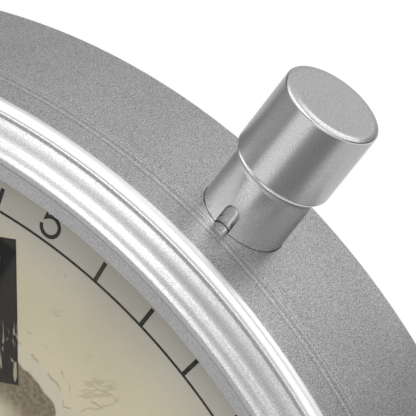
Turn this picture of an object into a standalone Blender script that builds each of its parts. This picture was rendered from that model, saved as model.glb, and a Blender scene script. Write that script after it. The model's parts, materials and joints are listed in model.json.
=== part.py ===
# Wall clock with a turned aluminium case, one push button on the rim and a quartz movement.
#
# Everything is drawn in the clock's own frame: X to the right, Y up to 12 o'clock, Z from the
# wall towards the viewer. The empty clock_frame turns that frame upright, so that in the
# world the dial faces -Y, 12 o'clock is +Z and the wall is the plane Y = 0.

from math import acos, asin, atan2, cos, hypot, pi, radians, sin, sqrt, tau

import bmesh
import bpy
from mathutils import Matrix

MM = 0.001
MERGE = 0.000001

# Clearances
SEAT = 0.25 * MM           # between two pieces that rest on each other
SLIDE = 0.3 * MM           # round a push button's stem and other sliding fits
RUN = 0.15 * MM            # round an arbor or a pipe that turns
RIM_PLAY = 0.4 * MM        # round a disc that drops into its recess

# Case band
BACK_RADIUS = 150.0 * MM
BAND_TAPER = 1.3 * MM      # how much smaller the radius is at the front bead
BAND_DEPTH = 43.9 * MM
BAND_WALL = 3.5 * MM       # under the front bead
BEAD_RADIUS = 2.0 * MM
MOUTH_WALL = 2.3 * MM      # from the mouth out to the bead's side
MOUTH_STEP = 0.2 * MM
BACK_CHAMFER = 0.5 * MM
FLANGE_WIDTH = 7.2 * MM
FLANGE_THICK = 3.0 * MM
LEDGE_WIDTH = 4.8 * MM     # of the ledge under the dial board
LEDGE_THICK = 1.8 * MM
COVER_RECESS = 3.6 * MM    # from the wall plane to the seat of the rear cover
COVER_RIM_WALL = 3.0 * MM  # of the band, round the rear cover

# Bezel
BEZEL_JOINT = 0.4 * MM     # the dark groove between band and bezel
BEZEL_RISE = 6.5 * MM      # from the groove up to the ridge
BEZEL_SEAT_DEPTH = 5.3 * MM
FLANK_WIDTH = 5.0 * MM     # from the bezel's outside to its ridge
LIP_WIDTH = 5.5 * MM       # from the ridge to the edge of the lip
LIP_THICK = 0.8 * MM
LIP_DROP = 3.4 * MM        # from the ridge down to the edge of the lip

# Glass, dial and what holds them apart
GLASS_THICK = 2.0 * MM
GLASS_LAND = 2.9 * MM      # how far the glass reaches under the lip
GLASS_CHAMFER = 0.2 * MM
GASKET_THICK = 0.5 * MM
GASKET_WIDTH = 1.9 * MM
SPACER_WIDTH = 1.5 * MM
DIAL_GAP = 6.75 * MM       # from the glass to the printed face
DIAL_THICK = 0.4 * MM
BOARD_THICK = 2.3 * MM

# Rear cover
COVER_THICK = 1.2 * MM
COVER_DISH = 2.5 * MM
DISH_INSET = 8.0 * MM      # from the flange to the dish
DISH_SLOPE = 4.0 * MM
WINDOW_SIDE = 62.0 * MM
WINDOW_CORNER = 6.0 * MM
KEYHOLE_HEIGHT = 92.0 * MM
KEYHOLE_RADIUS = 5.2 * MM
KEYHOLE_SLOT = 5.2 * MM
KEYHOLE_TRAVEL = 9.0 * MM
COVER_SCREWS = 4
SCREW_INSET = 4.5 * MM     # from the rim of the recess to the screws
SCREW_RADIUS = 1.5 * MM
SCREW_LENGTH = 6.0 * MM
SCREW_HEAD_RADIUS = 2.9 * MM
SCREW_HEAD_THICK = 1.5 * MM
SCREW_PLAY = 0.3 * MM

# Push button on the rim
BUTTON_ANGLE = radians(41.4)
BUTTON_INSET = 11.0 * MM   # of its axis behind the dial ledge
BUTTON_REACH = 31.4 * MM   # out of the case
CAP_RADIUS = 10.75 * MM
CAP_LENGTH = 18.5 * MM
CAP_ROUND = 1.25 * MM
STEM_RADIUS = 9.35 * MM
STEM_FILLET = 2.2 * MM
ROD_RADIUS = 2.5 * MM
ROD_SHOWS = 4.0 * MM       # past the sleeve's end
PUSH_TRAVEL = 4.0 * MM
KEYWAY_WIDTH = 2.5 * MM
KEYWAY_DEPTH = 1.8 * MM
KEYWAY_SHOWS = 5.6 * MM    # how far the keyway reaches out of the case
SLEEVE_WALL = 1.1 * MM
SLEEVE_LENGTH = 15.2 * MM  # in from the band's bore
SLEEVE_FLOOR = 1.5 * MM
PIN_RADIUS = 1.0 * MM
PIN_INSET = 2.2 * MM       # from the band's bore
CLIP_RADIUS = 5.0 * MM
CLIP_THICK = 0.8 * MM
SPRING_RADIUS = 5.0 * MM
SPRING_WIRE = 0.45 * MM
SPRING_PACKED = 5.5 * MM   # its length when the button is pressed
SPRING_TURNS = 5

# Time that the hands show at rest
SECONDS_SHOWN = 30.0
MINUTES_SHOWN = 10.0 + SECONDS_SHOWN / 60
HOURS_SHOWN = 10.0 + MINUTES_SHOWN / 60

# Hands: their thickness, and the gap from each to the next
HAND_THICK = 0.4 * MM
HOUR_HAND_RISE = 3.7 * MM  # from the dial's face to the hour hand
HAND_STEP = 1.0 * MM
HOUR_LENGTH = 70.0 * MM
MINUTE_LENGTH = 108.0 * MM
SECOND_LENGTH = 116.0 * MM
# Widths of the blade's tip and root, hub radius, tail length, widths of the tail's root and tip
HOUR_SHAPE = (4.0 * MM, 9.0 * MM, 7.5 * MM, 20.0 * MM, 8.0 * MM, 6.0 * MM)
MINUTE_SHAPE = (3.0 * MM, 7.0 * MM, 6.0 * MM, 26.0 * MM, 6.5 * MM, 5.0 * MM)
SECOND_SHAPE = (0.9 * MM, 1.8 * MM, 3.2 * MM, 36.0 * MM, 2.4 * MM, 4.0 * MM)

# Movement case
MOVEMENT_SIDE = 56.0 * MM
MOVEMENT_WALL = 1.4 * MM
MOVEMENT_DEPTH = 16.0 * MM
FRONT_SHELL_DEPTH = 9.0 * MM
CORNER_ROUND = 3.0 * MM
BUSHING_RADIUS = 4.0 * MM
BUSHING_REACH = 3.2 * MM   # past the dial's face
NUT_FLATS = 12.0 * MM
NUT_THICK = 1.8 * MM
WASHER_RADIUS = 7.5 * MM
WASHER_THICK = 0.4 * MM
CUSHION_RADIUS = 11.0 * MM
CUSHION_THICK = 0.75 * MM
PIVOT_DEPTH = 0.8 * MM
PARTITION = -11.2 * MM     # middle of the wall between the gears and the battery

# Coaxial pipes in the middle of the movement
SECONDS_ARBOR = 0.5 * MM
MINUTE_PIPE = 1.5 * MM
HOUR_PIPE = 2.6 * MM
PIPE_WALL = 0.75 * MM

# Gear levels, counted from the front plate, and gear sizes
LEVEL_FIRST = 1.3 * MM     # from the front plate's inner face to the middle of the first level
LEVEL_STEP = 1.28 * MM
GEAR_THICK = 0.8 * MM
ADDENDUM = 0.75
DEDENDUM = 1.2
TIP_SHARE = 0.16
ARBOR = 0.35 * MM
MOTION_ARBOR = 0.5 * MM
SETTING_SHAFT = 1.2 * MM

# Teeth of each wheel and of the pinion that meshes with it
ROTOR_TEETH, INTERMEDIATE_TEETH, INTERMEDIATE_MODULE = 8, 40, 0.28 * MM
SECONDS_DRIVER_TEETH, SECONDS_TEETH, SECONDS_MODULE = 8, 48, 0.285 * MM
THIRD_DRIVER_TEETH, THIRD_TEETH = 8, 60
CENTRE_DRIVER_TEETH, CENTRE_TEETH, CENTRE_MODULE = 8, 64, 0.22 * MM
CANNON_TEETH, MOTION_TEETH, MOTION_MODULE = 10, 30, 0.4 * MM
HOUR_DRIVER_TEETH, HOUR_TEETH = 8, 32
SETTING_TEETH = 10

# Where the arbors stand round the middle of the movement, counter-clockwise from 3 o'clock
THIRD_BEARING = radians(10)
MOTION_BEARING = radians(200)
INTERMEDIATE_BEARING = radians(115)
ROTOR_BEARING = radians(150)    # from the intermediate arbor
SETTING_BEARING = radians(150)  # from the motion arbor

# Motor, circuit and battery
MAGNET_RADIUS = 2.5 * MM
MAGNET_THICK = 2.0 * MM
STATOR_THICK = 1.0 * MM
STATOR_GAP = 0.6 * MM
ROTOR_DROP = 1.5 * MM      # from the rotor's pinion to the middle of its magnet
CORE_WIDTH = 3.0 * MM
COIL_RADIUS = 3.6 * MM
COIL_HALF_LENGTH = 9.0 * MM
COIL_PLACE = 21.0 * MM
POST_RADIUS = 1.0 * MM
PCB_LEFT, PCB_RIGHT, PCB_HALF = 14.0 * MM, 26.0 * MM, 9.0 * MM
PCB_POST_INSET = 2.5 * MM
CRYSTAL_RADIUS, CRYSTAL_HALF, CRYSTAL_PLACE = 1.0 * MM, 3.0 * MM, 3.0 * MM
CELL_RADIUS = 7.1 * MM
CELL_LENGTH = 50.5 * MM
CELL_PLACE = -19.2 * MM
NIPPLE_RADIUS = 2.75 * MM
NIPPLE_LENGTH = 1.2 * MM
CONTACT_THICK = 0.4 * MM
KNOB_RADIUS = 5.5 * MM
KNOB_THICK = 3.2 * MM

# Facets round a full turn
RING_SIDES = 60
INNER_SIDES = 48
BUTTON_SIDES = 32
PIPE_SIDES = 14
ARBOR_SIDES = 8

# Radii that several pieces share, from the outside in
FRONT_RADIUS = BACK_RADIUS - BAND_TAPER
MOUTH_RADIUS = FRONT_RADIUS - MOUTH_WALL
BAND_BORE = FRONT_RADIUS - BAND_WALL
FLANGE_BORE = BAND_BORE - FLANGE_WIDTH
COVER_RECESS_RADIUS = BACK_RADIUS - COVER_RIM_WALL
SCREW_CIRCLE = COVER_RECESS_RADIUS - SCREW_INSET
DISH_RADIUS = FLANGE_BORE - DISH_INSET
BEZEL_RADIUS = MOUTH_RADIUS - BEZEL_JOINT
RIDGE_RADIUS = BEZEL_RADIUS - FLANK_WIDTH
LIP_RADIUS = RIDGE_RADIUS - LIP_WIDTH
GLASS_RADIUS = LIP_RADIUS + GLASS_LAND
BEZEL_BORE = GLASS_RADIUS + RIM_PLAY
SPACER_RADIUS = BEZEL_BORE - SLIDE
DIAL_RADIUS = BEZEL_BORE
RECESS_RADIUS = DIAL_RADIUS + RIM_PLAY
LEDGE_BORE = DIAL_RADIUS - LEDGE_WIDTH

# Heights that several pieces share, from the front back
RIDGE_TOP = BAND_DEPTH + BEZEL_RISE
MOUTH_FRONT = BAND_DEPTH - MOUTH_STEP
BEZEL_SEAT = BAND_DEPTH - BEZEL_SEAT_DEPTH
LIP_FRONT = RIDGE_TOP - LIP_DROP
LIP_BACK = LIP_FRONT - LIP_THICK
GLASS_FRONT = LIP_BACK - SEAT
GLASS_BACK = GLASS_FRONT - GLASS_THICK
DIAL_FACE = GLASS_BACK - DIAL_GAP
BOARD_FRONT = DIAL_FACE - DIAL_THICK - SEAT
BOARD_BACK = BOARD_FRONT - BOARD_THICK
LEDGE_FRONT = BOARD_BACK - SEAT
LEDGE_BACK = LEDGE_FRONT - LEDGE_THICK
COVER_FRONT = COVER_RECESS - SEAT
COVER_BACK = COVER_FRONT - COVER_THICK

# Places along the button's axis, from the clock's axis outwards
BUTTON_HEIGHT = LEDGE_BACK - BUTTON_INSET
SLEEVE_END = BAND_BORE - SLEEVE_LENGTH
ROD_END = SLEEVE_END - ROD_SHOWS
STEM_END = SLEEVE_END + SLEEVE_FLOOR + SPRING_PACKED + PUSH_TRAVEL
PIN_PLACE = BAND_BORE - PIN_INSET
BUTTON_TOP = BACK_RADIUS + BUTTON_REACH

# Heights in the movement
BUSHING_END = DIAL_FACE + BUSHING_REACH
MOVEMENT_FRONT = BOARD_BACK - CUSHION_THICK - 2 * SEAT
MOVEMENT_SPLIT = MOVEMENT_FRONT - FRONT_SHELL_DEPTH
MOVEMENT_BACK = MOVEMENT_FRONT - MOVEMENT_DEPTH
INNER_FRONT = MOVEMENT_FRONT - MOVEMENT_WALL
INNER_BACK = MOVEMENT_BACK + MOVEMENT_WALL
INNER_HALF = MOVEMENT_SIDE / 2 - MOVEMENT_WALL
ROTOR_GEAR_LEVEL = 5
STATOR_LEVEL = INNER_FRONT - LEVEL_FIRST - LEVEL_STEP * ROTOR_GEAR_LEVEL - ROTOR_DROP


def clear_scene():
    for old in list(bpy.data.objects):
        bpy.data.objects.remove(old, do_unlink=True)


def new_collection(name):
    found = bpy.data.collections.new(name)
    bpy.context.scene.collection.children.link(found)
    return found


def empty(name, parent=None, matrix=None):
    """A helper that holds a frame for the pieces parented to it."""
    found = bpy.data.objects.new(name, None)
    found.empty_display_size = 0.02
    PARTS.objects.link(found)
    found.parent = parent
    if matrix is not None:
        found.matrix_local = matrix
    return found


def material(name, colour, roughness, metallic):
    made = bpy.data.materials.new(name)
    made.use_nodes = True
    shader = made.node_tree.nodes["Principled BSDF"]
    shader.inputs["Base Color"].default_value = (*colour, 1.0)
    shader.inputs["Roughness"].default_value = roughness
    shader.inputs["Metallic"].default_value = metallic
    return made


def add(name, mesh, finish, at=(0.0, 0.0, 0.0), frame=None, turn=(0.0, 0.0, 0.0)):
    """Put a mesh in the scene as a named piece, or as a cutter when it has no finish."""
    piece = bpy.data.objects.new(name, mesh)
    piece.parent = frame or CLOCK
    piece.location = at
    piece.rotation_euler = turn
    if finish is None:
        CUTTERS.objects.link(piece)
        piece.hide_render = True
        piece.display_type = "WIRE"
    else:
        PARTS.objects.link(piece)
        mesh.materials.append(finish)
    return piece


def turned(name, profile, sides, finish, at=(0.0, 0.0, 0.0), frame=None, turn=(0.0, 0.0, 0.0)):
    """Turn (radius, height) points about Z, the outer side first and from the top down.

    A profile that starts on the axis is open there, and any other one is a closed ring."""
    mesh = bpy.data.meshes.new(name)
    edges = [(i, i + 1) for i in range(len(profile) - 1)]
    if profile[0][0] > 0:
        edges.append((len(profile) - 1, 0))
    mesh.from_pydata([(radius, 0.0, height) for radius, height in profile], edges, [])
    piece = add(name, mesh, finish, at, frame, turn)
    screw = piece.modifiers.new("turn", "SCREW")
    screw.steps = sides
    screw.render_steps = sides
    screw.use_merge_vertices = True
    screw.merge_threshold = MERGE
    return piece


def ring(name, inner, outer, low, high, sides, finish, at=(0.0, 0.0, 0.0), frame=None):
    profile = [(outer, high), (outer, low), (inner, low), (inner, high)]
    return turned(name, profile, sides, finish, at, frame)


def cylinder(name, radius, low, high, sides, finish, at=(0.0, 0.0, 0.0), frame=None, turn=(0.0, 0.0, 0.0)):
    shape = bmesh.new()
    bmesh.ops.create_cone(
        shape, cap_ends=True, segments=sides, radius1=radius, radius2=radius, depth=high - low
    )
    bmesh.ops.translate(shape, verts=shape.verts, vec=(0.0, 0.0, (low + high) / 2))
    mesh = bpy.data.meshes.new(name)
    shape.to_mesh(mesh)
    shape.free()
    return add(name, mesh, finish, at, frame, turn)


def box(name, low, high, finish, frame=None):
    """A box between two opposite corners."""
    shape = bmesh.new()
    bmesh.ops.create_cube(shape, size=1.0)
    middle = [(a + b) / 2 for a, b in zip(low, high)]
    for vertex in shape.verts:
        vertex.co = [m + c * (b - a) for m, c, a, b in zip(middle, vertex.co, low, high)]
    mesh = bpy.data.meshes.new(name)
    shape.to_mesh(mesh)
    shape.free()
    return add(name, mesh, finish, frame=frame)


def mesh_of(curve):
    """The closed mesh that a curve makes, with its caps welded to its sides."""
    guide = bpy.data.objects.new(curve.name, curve)
    bpy.context.scene.collection.objects.link(guide)
    graph = bpy.context.evaluated_depsgraph_get()
    mesh = bpy.data.meshes.new_from_object(guide.evaluated_get(graph))
    bpy.data.objects.remove(guide, do_unlink=True)
    mesh.materials.clear()
    shape = bmesh.new()
    shape.from_mesh(mesh)
    bmesh.ops.remove_doubles(shape, verts=shape.verts, dist=MERGE)
    shape.to_mesh(mesh)
    shape.free()
    return mesh


def plate(name, outlines, low, high, finish, at=(0.0, 0.0, 0.0), frame=None):
    """A flat piece cut to the first outline, with the other outlines as holes."""
    curve = bpy.data.curves.new(name, "CURVE")
    curve.dimensions = "2D"
    curve.fill_mode = "BOTH"
    curve.extrude = (high - low) / 2
    for outline in outlines:
        spline = curve.splines.new("POLY")
        spline.points.add(len(outline) - 1)
        spline.use_cyclic_u = True
        for point, (x, y) in zip(spline.points, outline):
            point.co = (x, y, 0.0, 1.0)
    mesh = mesh_of(curve)
    mesh.transform(Matrix.Translation((0.0, 0.0, (low + high) / 2)))
    return add(name, mesh, finish, at, frame)


def change(piece, tool, operation):
    """Cut a piece with a tool, or join the tool to it."""
    step = piece.modifiers.new(tool.name, "BOOLEAN")
    step.operation = operation
    step.object = tool
    return piece


def cut(piece, *tools):
    for tool in tools:
        change(piece, tool, "DIFFERENCE")
    return piece


def join(piece, *tools):
    for tool in tools:
        change(piece, tool, "UNION")
    return piece


def polar(radius, angle):
    return (radius * cos(angle), radius * sin(angle))


def circle(radius, sides, centre=(0.0, 0.0)):
    points = [polar(radius, tau * i / sides) for i in range(sides)]
    return [(centre[0] + x, centre[1] + y) for x, y in points]


def arc(centre, radius, start, end, steps):
    """Points on an arc, both ends included."""
    angles = [start + (end - start) * i / steps for i in range(steps + 1)]
    return [(centre[0] + radius * cos(a), centre[1] + radius * sin(a)) for a in angles]


def rounded_square(half, corner, steps):
    inner = half - corner
    outline = []
    for quarter in range(4):
        turn = quarter * pi / 2
        centre = (inner * sqrt(2) * cos(turn + pi / 4), inner * sqrt(2) * sin(turn + pi / 4))
        outline += arc(centre, corner, turn, turn + pi / 2, steps)
    return outline


def clockwise(angle):
    """The turn about the clock's Z axis that brings a hand from 12 o'clock to this angle."""
    return (0.0, 0.0, -angle)


def build_case_band():
    bead_centre = (FRONT_RADIUS - BEAD_RADIUS, BAND_DEPTH - BEAD_RADIUS)
    bead = arc(bead_centre, BEAD_RADIUS, radians(76), 0.0, 4)
    profile = [(MOUTH_RADIUS, MOUTH_FRONT), (bead[0][0] - MOUTH_STEP / 2, MOUTH_FRONT)]
    profile += bead
    profile += [
        (BACK_RADIUS, BACK_CHAMFER),
        (BACK_RADIUS - BACK_CHAMFER, 0.0),
        (COVER_RECESS_RADIUS, 0.0),
        (COVER_RECESS_RADIUS, COVER_RECESS),
        (FLANGE_BORE, COVER_RECESS),
        (FLANGE_BORE, COVER_RECESS + FLANGE_THICK),
        (BAND_BORE, COVER_RECESS + FLANGE_THICK),
        (BAND_BORE, LEDGE_BACK),
        (LEDGE_BORE, LEDGE_BACK),
        (LEDGE_BORE, LEDGE_FRONT),
        (RECESS_RADIUS, LEDGE_FRONT),
        (RECESS_RADIUS, BEZEL_SEAT),
        (MOUTH_RADIUS, BEZEL_SEAT),
    ]
    band = turned("case_band", profile, RING_SIDES, ALUMINIUM)
    hole = cylinder(
        "cut_button_hole", STEM_RADIUS + SLIDE, FLANGE_BORE, BUTTON_TOP, BUTTON_SIDES, None, frame=BUTTON
    )
    cut(band, hole)
    for number, centre in enumerate(screw_places(), 1):
        reach = COVER_RECESS + FLANGE_THICK + SCREW_LENGTH
        cut(band, cylinder(f"cut_flange_hole_{number}", SCREW_RADIUS + SEAT, 0.0, reach, 10, None, centre))
    return band


def build_bezel():
    """A ring pressed into the band's mouth: a convex flank, a ridge, and a lip over the glass."""
    groove = BAND_DEPTH
    flank = [
        (RIDGE_RADIUS + 0.7 * MM, RIDGE_TOP - 0.3 * MM),
        (RIDGE_RADIUS + 2.4 * MM, RIDGE_TOP - 1.9 * MM),
        (BEZEL_RADIUS - 1.2 * MM, groove + 2.7 * MM),
        (BEZEL_RADIUS - 0.3 * MM, groove + 0.9 * MM),
        (BEZEL_RADIUS, groove - 0.1 * MM),
    ]
    profile = [(RIDGE_RADIUS, RIDGE_TOP)] + flank
    profile += [
        (BEZEL_RADIUS, BEZEL_SEAT + SEAT),
        (BEZEL_BORE, BEZEL_SEAT + SEAT),
        (BEZEL_BORE, LIP_BACK),
        (LIP_RADIUS, LIP_BACK),
        (LIP_RADIUS, LIP_FRONT - 0.15 * MM),
        (LIP_RADIUS + 0.15 * MM, LIP_FRONT),
        (RIDGE_RADIUS - 1.4 * MM, RIDGE_TOP - 1.6 * MM),
        (RIDGE_RADIUS - 0.8 * MM, RIDGE_TOP - 0.3 * MM),
    ]
    return turned("bezel_ring", profile, RING_SIDES, ALUMINIUM)


def build_front_stack():
    """Glass, gasket, spacer, dial and dial board, in the order in which they are dropped in."""
    edge = GLASS_RADIUS - GLASS_CHAMFER
    profile = [
        (0.0, GLASS_FRONT),
        (edge, GLASS_FRONT),
        (GLASS_RADIUS, GLASS_FRONT - GLASS_CHAMFER),
        (GLASS_RADIUS, GLASS_BACK + GLASS_CHAMFER),
        (edge, GLASS_BACK),
        (0.0, GLASS_BACK),
    ]
    turned("lens_glass", profile, INNER_SIDES, GLASS)
    gasket_front = GLASS_BACK - SEAT
    gasket_back = gasket_front - GASKET_THICK
    ring(
        "lens_gasket",
        SPACER_RADIUS - GASKET_WIDTH,
        SPACER_RADIUS,
        gasket_back,
        gasket_front,
        INNER_SIDES,
        RUBBER,
    )
    ring(
        "dial_spacer",
        SPACER_RADIUS - SPACER_WIDTH,
        SPACER_RADIUS,
        DIAL_FACE + SEAT,
        gasket_back - SEAT,
        INNER_SIDES,
        SPACER_GREY,
    )
    bore = BUSHING_RADIUS + RIM_PLAY
    ring("dial", bore, DIAL_RADIUS, DIAL_FACE - DIAL_THICK, DIAL_FACE, INNER_SIDES, DIAL_PAPER)
    ring("dial_board", bore, DIAL_RADIUS, BOARD_BACK, BOARD_FRONT, INNER_SIDES, BOARD)


def screw_places():
    first = pi / 4
    angles = [first + tau * i / COVER_SCREWS for i in range(COVER_SCREWS)]
    return [(*polar(SCREW_CIRCLE, angle), 0.0) for angle in angles]


def build_rear_cover():
    """A pressed steel disc, dished forward in the middle, with the keyhole that the clock hangs by."""
    rim = COVER_RECESS_RADIUS - RIM_PLAY
    profile = [
        (0.0, COVER_FRONT + COVER_DISH),
        (DISH_RADIUS, COVER_FRONT + COVER_DISH),
        (DISH_RADIUS + DISH_SLOPE, COVER_FRONT),
        (rim, COVER_FRONT),
        (rim, COVER_BACK),
        (DISH_RADIUS + DISH_SLOPE, COVER_BACK),
        (DISH_RADIUS, COVER_BACK + COVER_DISH),
        (0.0, COVER_BACK + COVER_DISH),
    ]
    cover = turned("rear_cover", profile, INNER_SIDES, BLACK_STEEL)
    low, high = -1.0 * MM, COVER_FRONT + COVER_DISH + 2.0 * MM
    window = rounded_square(WINDOW_SIDE / 2, WINDOW_CORNER, 3)
    slot = KEYHOLE_SLOT / 2
    neck = asin(slot / KEYHOLE_RADIUS)
    entry = arc((0.0, KEYHOLE_HEIGHT), KEYHOLE_RADIUS, pi / 2 + neck, tau + pi / 2 - neck, 14)
    seat = arc((0.0, KEYHOLE_HEIGHT + KEYHOLE_TRAVEL), slot, 0.0, pi, 6)
    cut(cover, plate("cut_window", [window], low, high, None))
    cut(cover, plate("cut_keyhole", [entry + seat], low, high, None))
    for number, centre in enumerate(screw_places(), 1):
        cut(cover, cylinder(f"cut_cover_hole_{number}", SCREW_RADIUS + SCREW_PLAY, low, high, 10, None, centre))
        head_back = COVER_BACK - SEAT - SCREW_HEAD_THICK
        screw = [
            (0.0, head_back + SCREW_LENGTH + SCREW_HEAD_THICK),
            (SCREW_RADIUS, head_back + SCREW_LENGTH + SCREW_HEAD_THICK),
            (SCREW_RADIUS, COVER_BACK - SEAT),
            (SCREW_HEAD_RADIUS, COVER_BACK - SEAT),
            (SCREW_HEAD_RADIUS - 0.3 * MM, head_back + 0.5 * MM),
            (SCREW_HEAD_RADIUS - 1.1 * MM, head_back),
            (0.0, head_back),
        ]
        turned(f"rear_cover_screw_{number}", screw, 12, STEEL, centre)


def build_button():
    """The push button: a plain cap on a keyed stem, with the rod that its clip holds."""
    cap_foot = BUTTON_TOP - CAP_LENGTH
    seam = 0.3 * MM
    neck = cap_foot - seam
    fillet_centre = (STEM_RADIUS + STEM_FILLET, neck - STEM_FILLET)
    outer_edge = arc(
        (CAP_RADIUS - CAP_ROUND, BUTTON_TOP - CAP_ROUND), CAP_ROUND, pi / 2, 0.0, 4
    )
    lean = acos((fillet_centre[0] - CAP_RADIUS + 0.6 * MM) / STEM_FILLET)
    fillet = arc(fillet_centre, STEM_FILLET, pi - lean, pi, 3)
    profile = [(0.0, BUTTON_TOP)] + outer_edge
    profile += [
        (CAP_RADIUS, cap_foot + 0.5 * MM),
        (CAP_RADIUS - 0.4 * MM, cap_foot),
        (CAP_RADIUS - 0.9 * MM, cap_foot),
    ]
    profile += fillet
    profile += [
        (STEM_RADIUS, STEM_END + 0.4 * MM),
        (STEM_RADIUS - 0.4 * MM, STEM_END),
        (ROD_RADIUS, STEM_END),
        (ROD_RADIUS, ROD_END + 0.3 * MM),
        (ROD_RADIUS - 0.3 * MM, ROD_END),
        (0.0, ROD_END),
    ]
    button = turned("pusher_button", profile, BUTTON_SIDES, ALUMINIUM, frame=BUTTON)
    half = KEYWAY_WIDTH / 2
    end = case_radius_at(BUTTON_HEIGHT) + KEYWAY_SHOWS - half
    keyway = [(half, STEM_END - SLIDE), *arc((0.0, end), half, 0.0, pi, 6), (-half, STEM_END - SLIDE)]
    key_cutter = plate("cut_keyway", [keyway], 0.0, STEM_RADIUS, None, frame=BUTTON)
    key_cutter.matrix_local = Matrix.Translation((0.0, KEYWAY_DEPTH - STEM_RADIUS, 0.0)) @ UPRIGHT
    return cut(button, key_cutter)


def case_radius_at(height):
    """Outer radius of the band, which tapers from its back to its front bead."""
    share = (height - BACK_CHAMFER) / (BAND_DEPTH - BEAD_RADIUS - BACK_CHAMFER)
    return BACK_RADIUS + (FRONT_RADIUS - BACK_RADIUS) * share


def build_button_guide():
    """The sleeve that the stem slides in, with its key pin, the return spring and the clip."""
    bore = STEM_RADIUS + SLIDE
    outer = bore + SLEEVE_WALL
    sleeve = turned(
        "pusher_sleeve",
        [
            (outer, BAND_BORE),
            (outer, SLEEVE_END),
            (ROD_RADIUS + SLIDE, SLEEVE_END),
            (ROD_RADIUS + SLIDE, SLEEVE_END + SLEEVE_FLOOR),
            (bore, SLEEVE_END + SLEEVE_FLOOR),
            (bore, BAND_BORE),
        ],
        BUTTON_SIDES,
        STEEL,
        frame=BUTTON,
    )
    saddle = ring(
        "cut_saddle", BAND_BORE - SEAT, BACK_RADIUS, 0.0, BAND_DEPTH, RING_SIDES, None
    )
    pin_turn = (pi / 2, 0.0, 0.0)
    pin_low, pin_high = STEM_RADIUS - KEYWAY_DEPTH + SLIDE, outer
    pin_hole = cylinder(
        "cut_pin_hole", PIN_RADIUS + RUN, bore - SLIDE, outer + SLIDE, 12, None,
        (0.0, 0.0, PIN_PLACE), BUTTON, pin_turn,
    )
    cut(sleeve, saddle, pin_hole)
    cylinder(
        "pusher_guide_pin", PIN_RADIUS, pin_low, pin_high, 12, STEEL,
        (0.0, 0.0, PIN_PLACE), BUTTON, pin_turn,
    )
    ring(
        "pusher_clip", ROD_RADIUS + RUN, CLIP_RADIUS, SLEEVE_END - SEAT - CLIP_THICK,
        SLEEVE_END - SEAT, 16, STEEL, frame=BUTTON,
    )
    build_spring(SLEEVE_END + SLEEVE_FLOOR + SEAT, STEM_END - SEAT)


def build_spring(low, high):
    points_each_turn = 10
    count = SPRING_TURNS * points_each_turn
    rise = high - low - 2 * SPRING_WIRE
    curve = bpy.data.curves.new("pusher_spring", "CURVE")
    curve.dimensions = "3D"
    curve.bevel_depth = SPRING_WIRE
    curve.bevel_resolution = 1
    curve.use_fill_caps = True
    spline = curve.splines.new("POLY")
    spline.points.add(count)
    for i, point in enumerate(spline.points):
        x, y = polar(SPRING_RADIUS, tau * i / points_each_turn)
        point.co = (x, y, low + SPRING_WIRE + rise * i / count, 1.0)
    print(f"spring: {(rise / SPRING_TURNS - 2 * SPRING_WIRE) / MM:.2f} mm between its turns")
    add("pusher_spring", mesh_of(curve), STEEL, frame=BUTTON)


def hand_outline(length, tip, root, hub, tail_length, tail_root, tail_tip):
    """A tapered blade and a counterweight tail that run into a round hub."""
    top = acos(root / 2 / hub)
    bottom = acos(tail_root / 2 / hub)
    right = arc((0.0, 0.0), hub, top, -bottom, 7)
    left = arc((0.0, 0.0), hub, pi + bottom, pi - top, 7)
    blade = [(-tip / 2, length), (tip / 2, length)]
    tail = [(tail_tip / 2, -tail_length), (-tail_tip / 2, -tail_length)]
    return blade + right + tail + left


def build_hands():
    heights = [DIAL_FACE + HOUR_HAND_RISE + HAND_STEP * i for i in range(3)]
    hands = (
        ("hour_hand", HOUR_LENGTH, HOUR_SHAPE, HOUR_PIPE, HOURS_SHOWN / 12),
        ("minute_hand", MINUTE_LENGTH, MINUTE_SHAPE, MINUTE_PIPE, MINUTES_SHOWN / 60),
        ("second_hand", SECOND_LENGTH, SECOND_SHAPE, SECONDS_ARBOR, SECONDS_SHOWN / 60),
    )
    for (name, length, shape, pipe, share), low in zip(hands, heights):
        outline = hand_outline(length, *shape)
        hole = circle(pipe + RUN, PIPE_SIDES)
        hand = plate(name, [outline, hole], low, low + HAND_THICK, HAND_BLACK)
        hand.rotation_euler = clockwise(share % 1 * tau)


def gear_outline(teeth, module, phase):
    """Tapered teeth, one of them centred on the angle phase."""
    pitch = tau / teeth
    tip = module * (teeth / 2 + ADDENDUM)
    root = module * (teeth / 2 - DEDENDUM)
    outline = []
    for tooth in range(teeth):
        middle = phase + tooth * pitch
        outline.append(polar(root, middle - pitch / 2))
        outline.append(polar(tip, middle - TIP_SHARE * pitch / 2))
        outline.append(polar(tip, middle + TIP_SHARE * pitch / 2))
    return outline


def mesh_phase(teeth, phase, bearing, other_teeth):
    """The phase that puts another gear's gap on a gear's tooth, in the direction bearing."""
    shift = (phase - bearing) * teeth / tau
    return bearing + pi - (shift + 0.5) * tau / other_teeth


def centre_distance(teeth, other_teeth, module):
    return (teeth + other_teeth) * module / 2


def beside(place, distance, bearing):
    x, y = polar(distance, bearing)
    return (place[0] + x, place[1] + y, 0.0)


def level(number):
    """Low and high face of a gear level, where level 0 is next to the front plate."""
    middle = INNER_FRONT - LEVEL_FIRST - LEVEL_STEP * number
    return middle - GEAR_THICK / 2, middle + GEAR_THICK / 2


def gear(name, teeth, module, phase, number, finish, at, hole=None, reach=0.0):
    """One row of teeth. A pinion reaches down into the wheel that it stands on."""
    low, high = level(number)
    outlines = [gear_outline(teeth, module, phase)]
    if hole:
        outlines.append(circle(hole, PIPE_SIDES))
    return plate(name, outlines, low - reach, high, finish, at)


def arbor_ends():
    """Where a thin arbor's ends stand in the bores of the two plates."""
    play = PIVOT_DEPTH / 4
    return INNER_BACK - PIVOT_DEPTH + play, INNER_FRONT + PIVOT_DEPTH - play


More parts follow.
